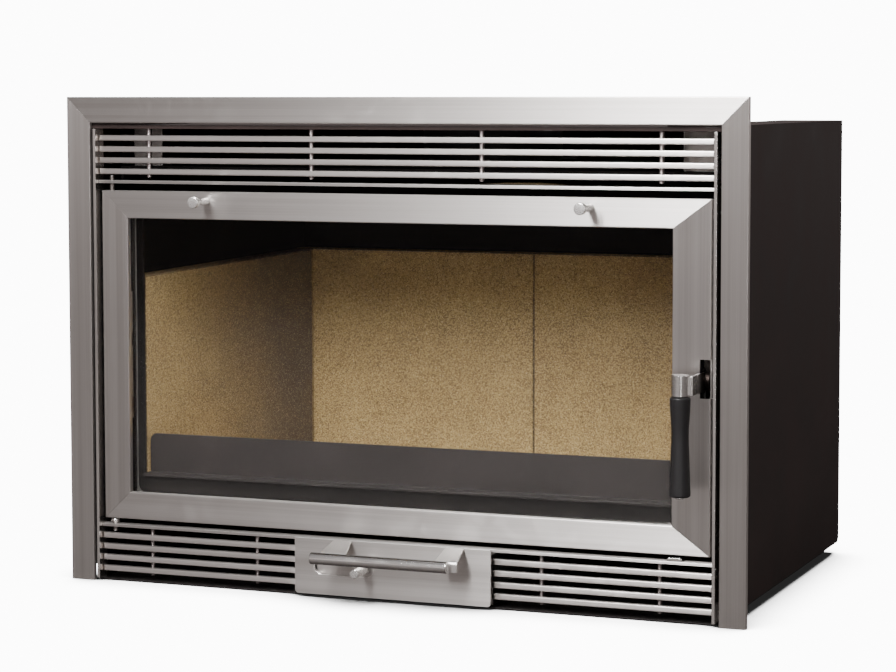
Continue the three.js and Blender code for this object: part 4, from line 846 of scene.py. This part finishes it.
# %% Latch, valves and drawer
# The lever's rear carries painted shade.
eased("latch_lever", lever_steel, "latch", 0.4, 3)
eased("handle_grip", grip_resin, "latch", 0.5)
eased("grip_end_cap", bright_steel, "latch", 0.4)
for side in ("left", "right"):
    valve_knob(side)
eased("drawer_front", stainless_across, "drawer", 0.4, 3)
eased("ash_pan", stainless_across, "drawer", 0.3)
handle_bar()
for side in ("left", "right"):
    handle_strap(side)
eased("air_slider", stainless_across, "air_slide", 0.3)
air_knob_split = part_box("air_knob")[0][1] + AIR_KNOB_SPLIT * MM
stretched("air_knob", knob_steel, "bright_steel", "air_slide", Y_AXIS, air_knob_split, -AIR_KNOB_REACH)

# %% [markdown]
# ## Studio
# Brushed steel shows little of its own. It shows what stands in front of it. The world is a soft grey that
# falls off towards the floor, seen as white by the camera only, and large panels give the long highlights. The
# floor is white to the camera too, with a painted contact shadow, and is painted dark as shade under the insert's
# own footprint.

# %% Floor, world and lights
PAPER_WHITE = 12.0
ROOM_LIGHT = 0.88
BLACK = (0.002, 0.002, 0.002, 1.0)
WHITE = (1.0, 1.0, 1.0, 1.0)


def stage_floor():
    """A pale sheet: paper white to the eye with a faint painted contact shadow and painted shade under the insert,
    duller in what the steel mirrors.
    """
    bm = bmesh.new()
    bmesh.ops.create_grid(bm, x_segments=1, y_segments=1, size=8.0)
    mesh = bpy.data.meshes.new("studio_floor")
    bm.to_mesh(mesh)
    bm.free()
    floor = bpy.data.objects.new("studio_floor", mesh)
    bpy.context.scene.collection.objects.link(floor)
    material = bpy.data.materials.new("studio_paper")
    material.use_nodes = True
    tree = material.node_tree
    paper = tree.nodes["Principled BSDF"]
    paper.inputs["Base Color"].default_value = (0.088, 0.078, 0.075, 1.0)
    paper.inputs["Roughness"].default_value = 0.9
    # Painted contact shadow from ambient occlusion, and painted shade under the insert's footprint, on the paper the
    # camera sees.
    near = make(tree, "AmbientOcclusion", {"Distance": 0.09}).outputs["AO"]
    spot = make(tree, "SeparateXYZ", {0: make(tree, "TexCoord").outputs["Object"]}).outputs
    beside = between(tree, calc(tree, "ABSOLUTE", spot["X"]), 0.352, 0.362)
    before = between(tree, spot["Y"], -0.205, -0.197, 1.0, 0.0)
    behind = between(tree, spot["Y"], 0.240, 0.250)
    open_floor = calc(tree, "MAXIMUM", beside, calc(tree, "MAXIMUM", before, behind))
    near = calc(tree, "MULTIPLY", near, open_floor)
    painted_lit = mixed(tree, between(tree, near, 0.35, 0.9), BLACK, WHITE)
    white = make(tree, "Emission", {"Color": painted_lit, "Strength": PAPER_WHITE})
    seen = make(tree, "LightPath").outputs["Is Camera Ray"]
    either = make(tree, "MixShader", {0: seen, 1: paper.outputs[0], 2: white.outputs[0]})
    tree.links.new(either.outputs[0], tree.nodes["Material Output"].inputs["Surface"])
    mesh.materials.append(material)
    floor.location.z = -0.0005
    return floor


def studio_world():
    """Seen by the camera as white paper, and by the steel as a grey room that is darker below."""
    world = bpy.data.worlds.new("studio")
    world.use_nodes = True
    tree = world.node_tree
    tree.nodes.clear()
    height = make(tree, "SeparateXYZ", {0: make(tree, "TexCoord").outputs["Generated"]}).outputs["Z"]
    lift = make(tree, "MapRange", {"Value": height, "From Min": -1.0, "From Max": 1.0}).outputs[0]
    ramp = make(tree, "ValToRGB", {0: lift})
    stops = ramp.color_ramp.elements
    stops[0].position, stops[0].color = 0.30, (0.10, 0.089, 0.086, 1.0)
    stops[1].position, stops[1].color = 1.0, (0.30, 0.29, 0.29, 1.0)
    for position, value in ((0.45, 0.34), (0.50, 0.74), (0.56, 0.62), (0.64, 0.36)):
        stop = stops.new(position)
        stop.color = (value, value * 0.905, value * 0.885, 1.0)
    room = make(tree, "Background", {"Color": ramp.outputs["Color"], "Strength": ROOM_LIGHT})
    paper = make(tree, "Background", {"Color": WHITE, "Strength": PAPER_WHITE})
    seen = make(tree, "LightPath").outputs["Is Camera Ray"]
    either = make(tree, "MixShader", {0: seen, 1: room.outputs[0], 2: paper.outputs[0]})
    out = make(tree, "OutputWorld")
    tree.links.new(either.outputs[0], out.inputs["Surface"])
    bpy.context.scene.world = world


def soft_panel(name, place, target, width, height, power, tint=WHITE[:3]):
    data = bpy.data.lights.new(name, "AREA")
    data.shape = "RECTANGLE"
    data.size, data.size_y = width, height
    data.energy = power
    data.color = tint
    panel = bpy.data.objects.new(name, data)
    bpy.context.scene.collection.objects.link(panel)
    panel.location = place
    panel.visible_camera = False
    panel.rotation_euler = (Vector(target) - Vector(place)).to_track_quat("-Z", "Y").to_euler()
    return panel


stage_floor()
studio_world()
soft_panel("key_panel", (-0.50, -3.0, 2.2), (0.0, 0.0, 0.25), 0.34, 2.2, 200.0)
soft_panel("near_panel", (-0.10, -1.35, 1.5), (0.1, -0.2, 0.45), 0.45, 0.5, 16.0)
soft_panel("hearth_panel", (0.3, -2.0, 2.5), (0.0, 0.1, 0.15), 1.2, 0.5, 22.0)
soft_panel("rim_strip", (1.55, -2.8, 0.8), (0.0, 0.0, 0.25), 0.14, 1.7, 12.0)
soft_panel("fill_panel", (2.2, -2.6, 1.6), (0.0, 0.0, 0.25), 1.0, 1.0, 8.0, (1.0, 0.97, 0.93))
soft_panel("top_panel", (0.0, 0.2, 2.6), (0.0, 0.2, 0.2), 1.8, 1.0, 8.0)
print("studio ready")
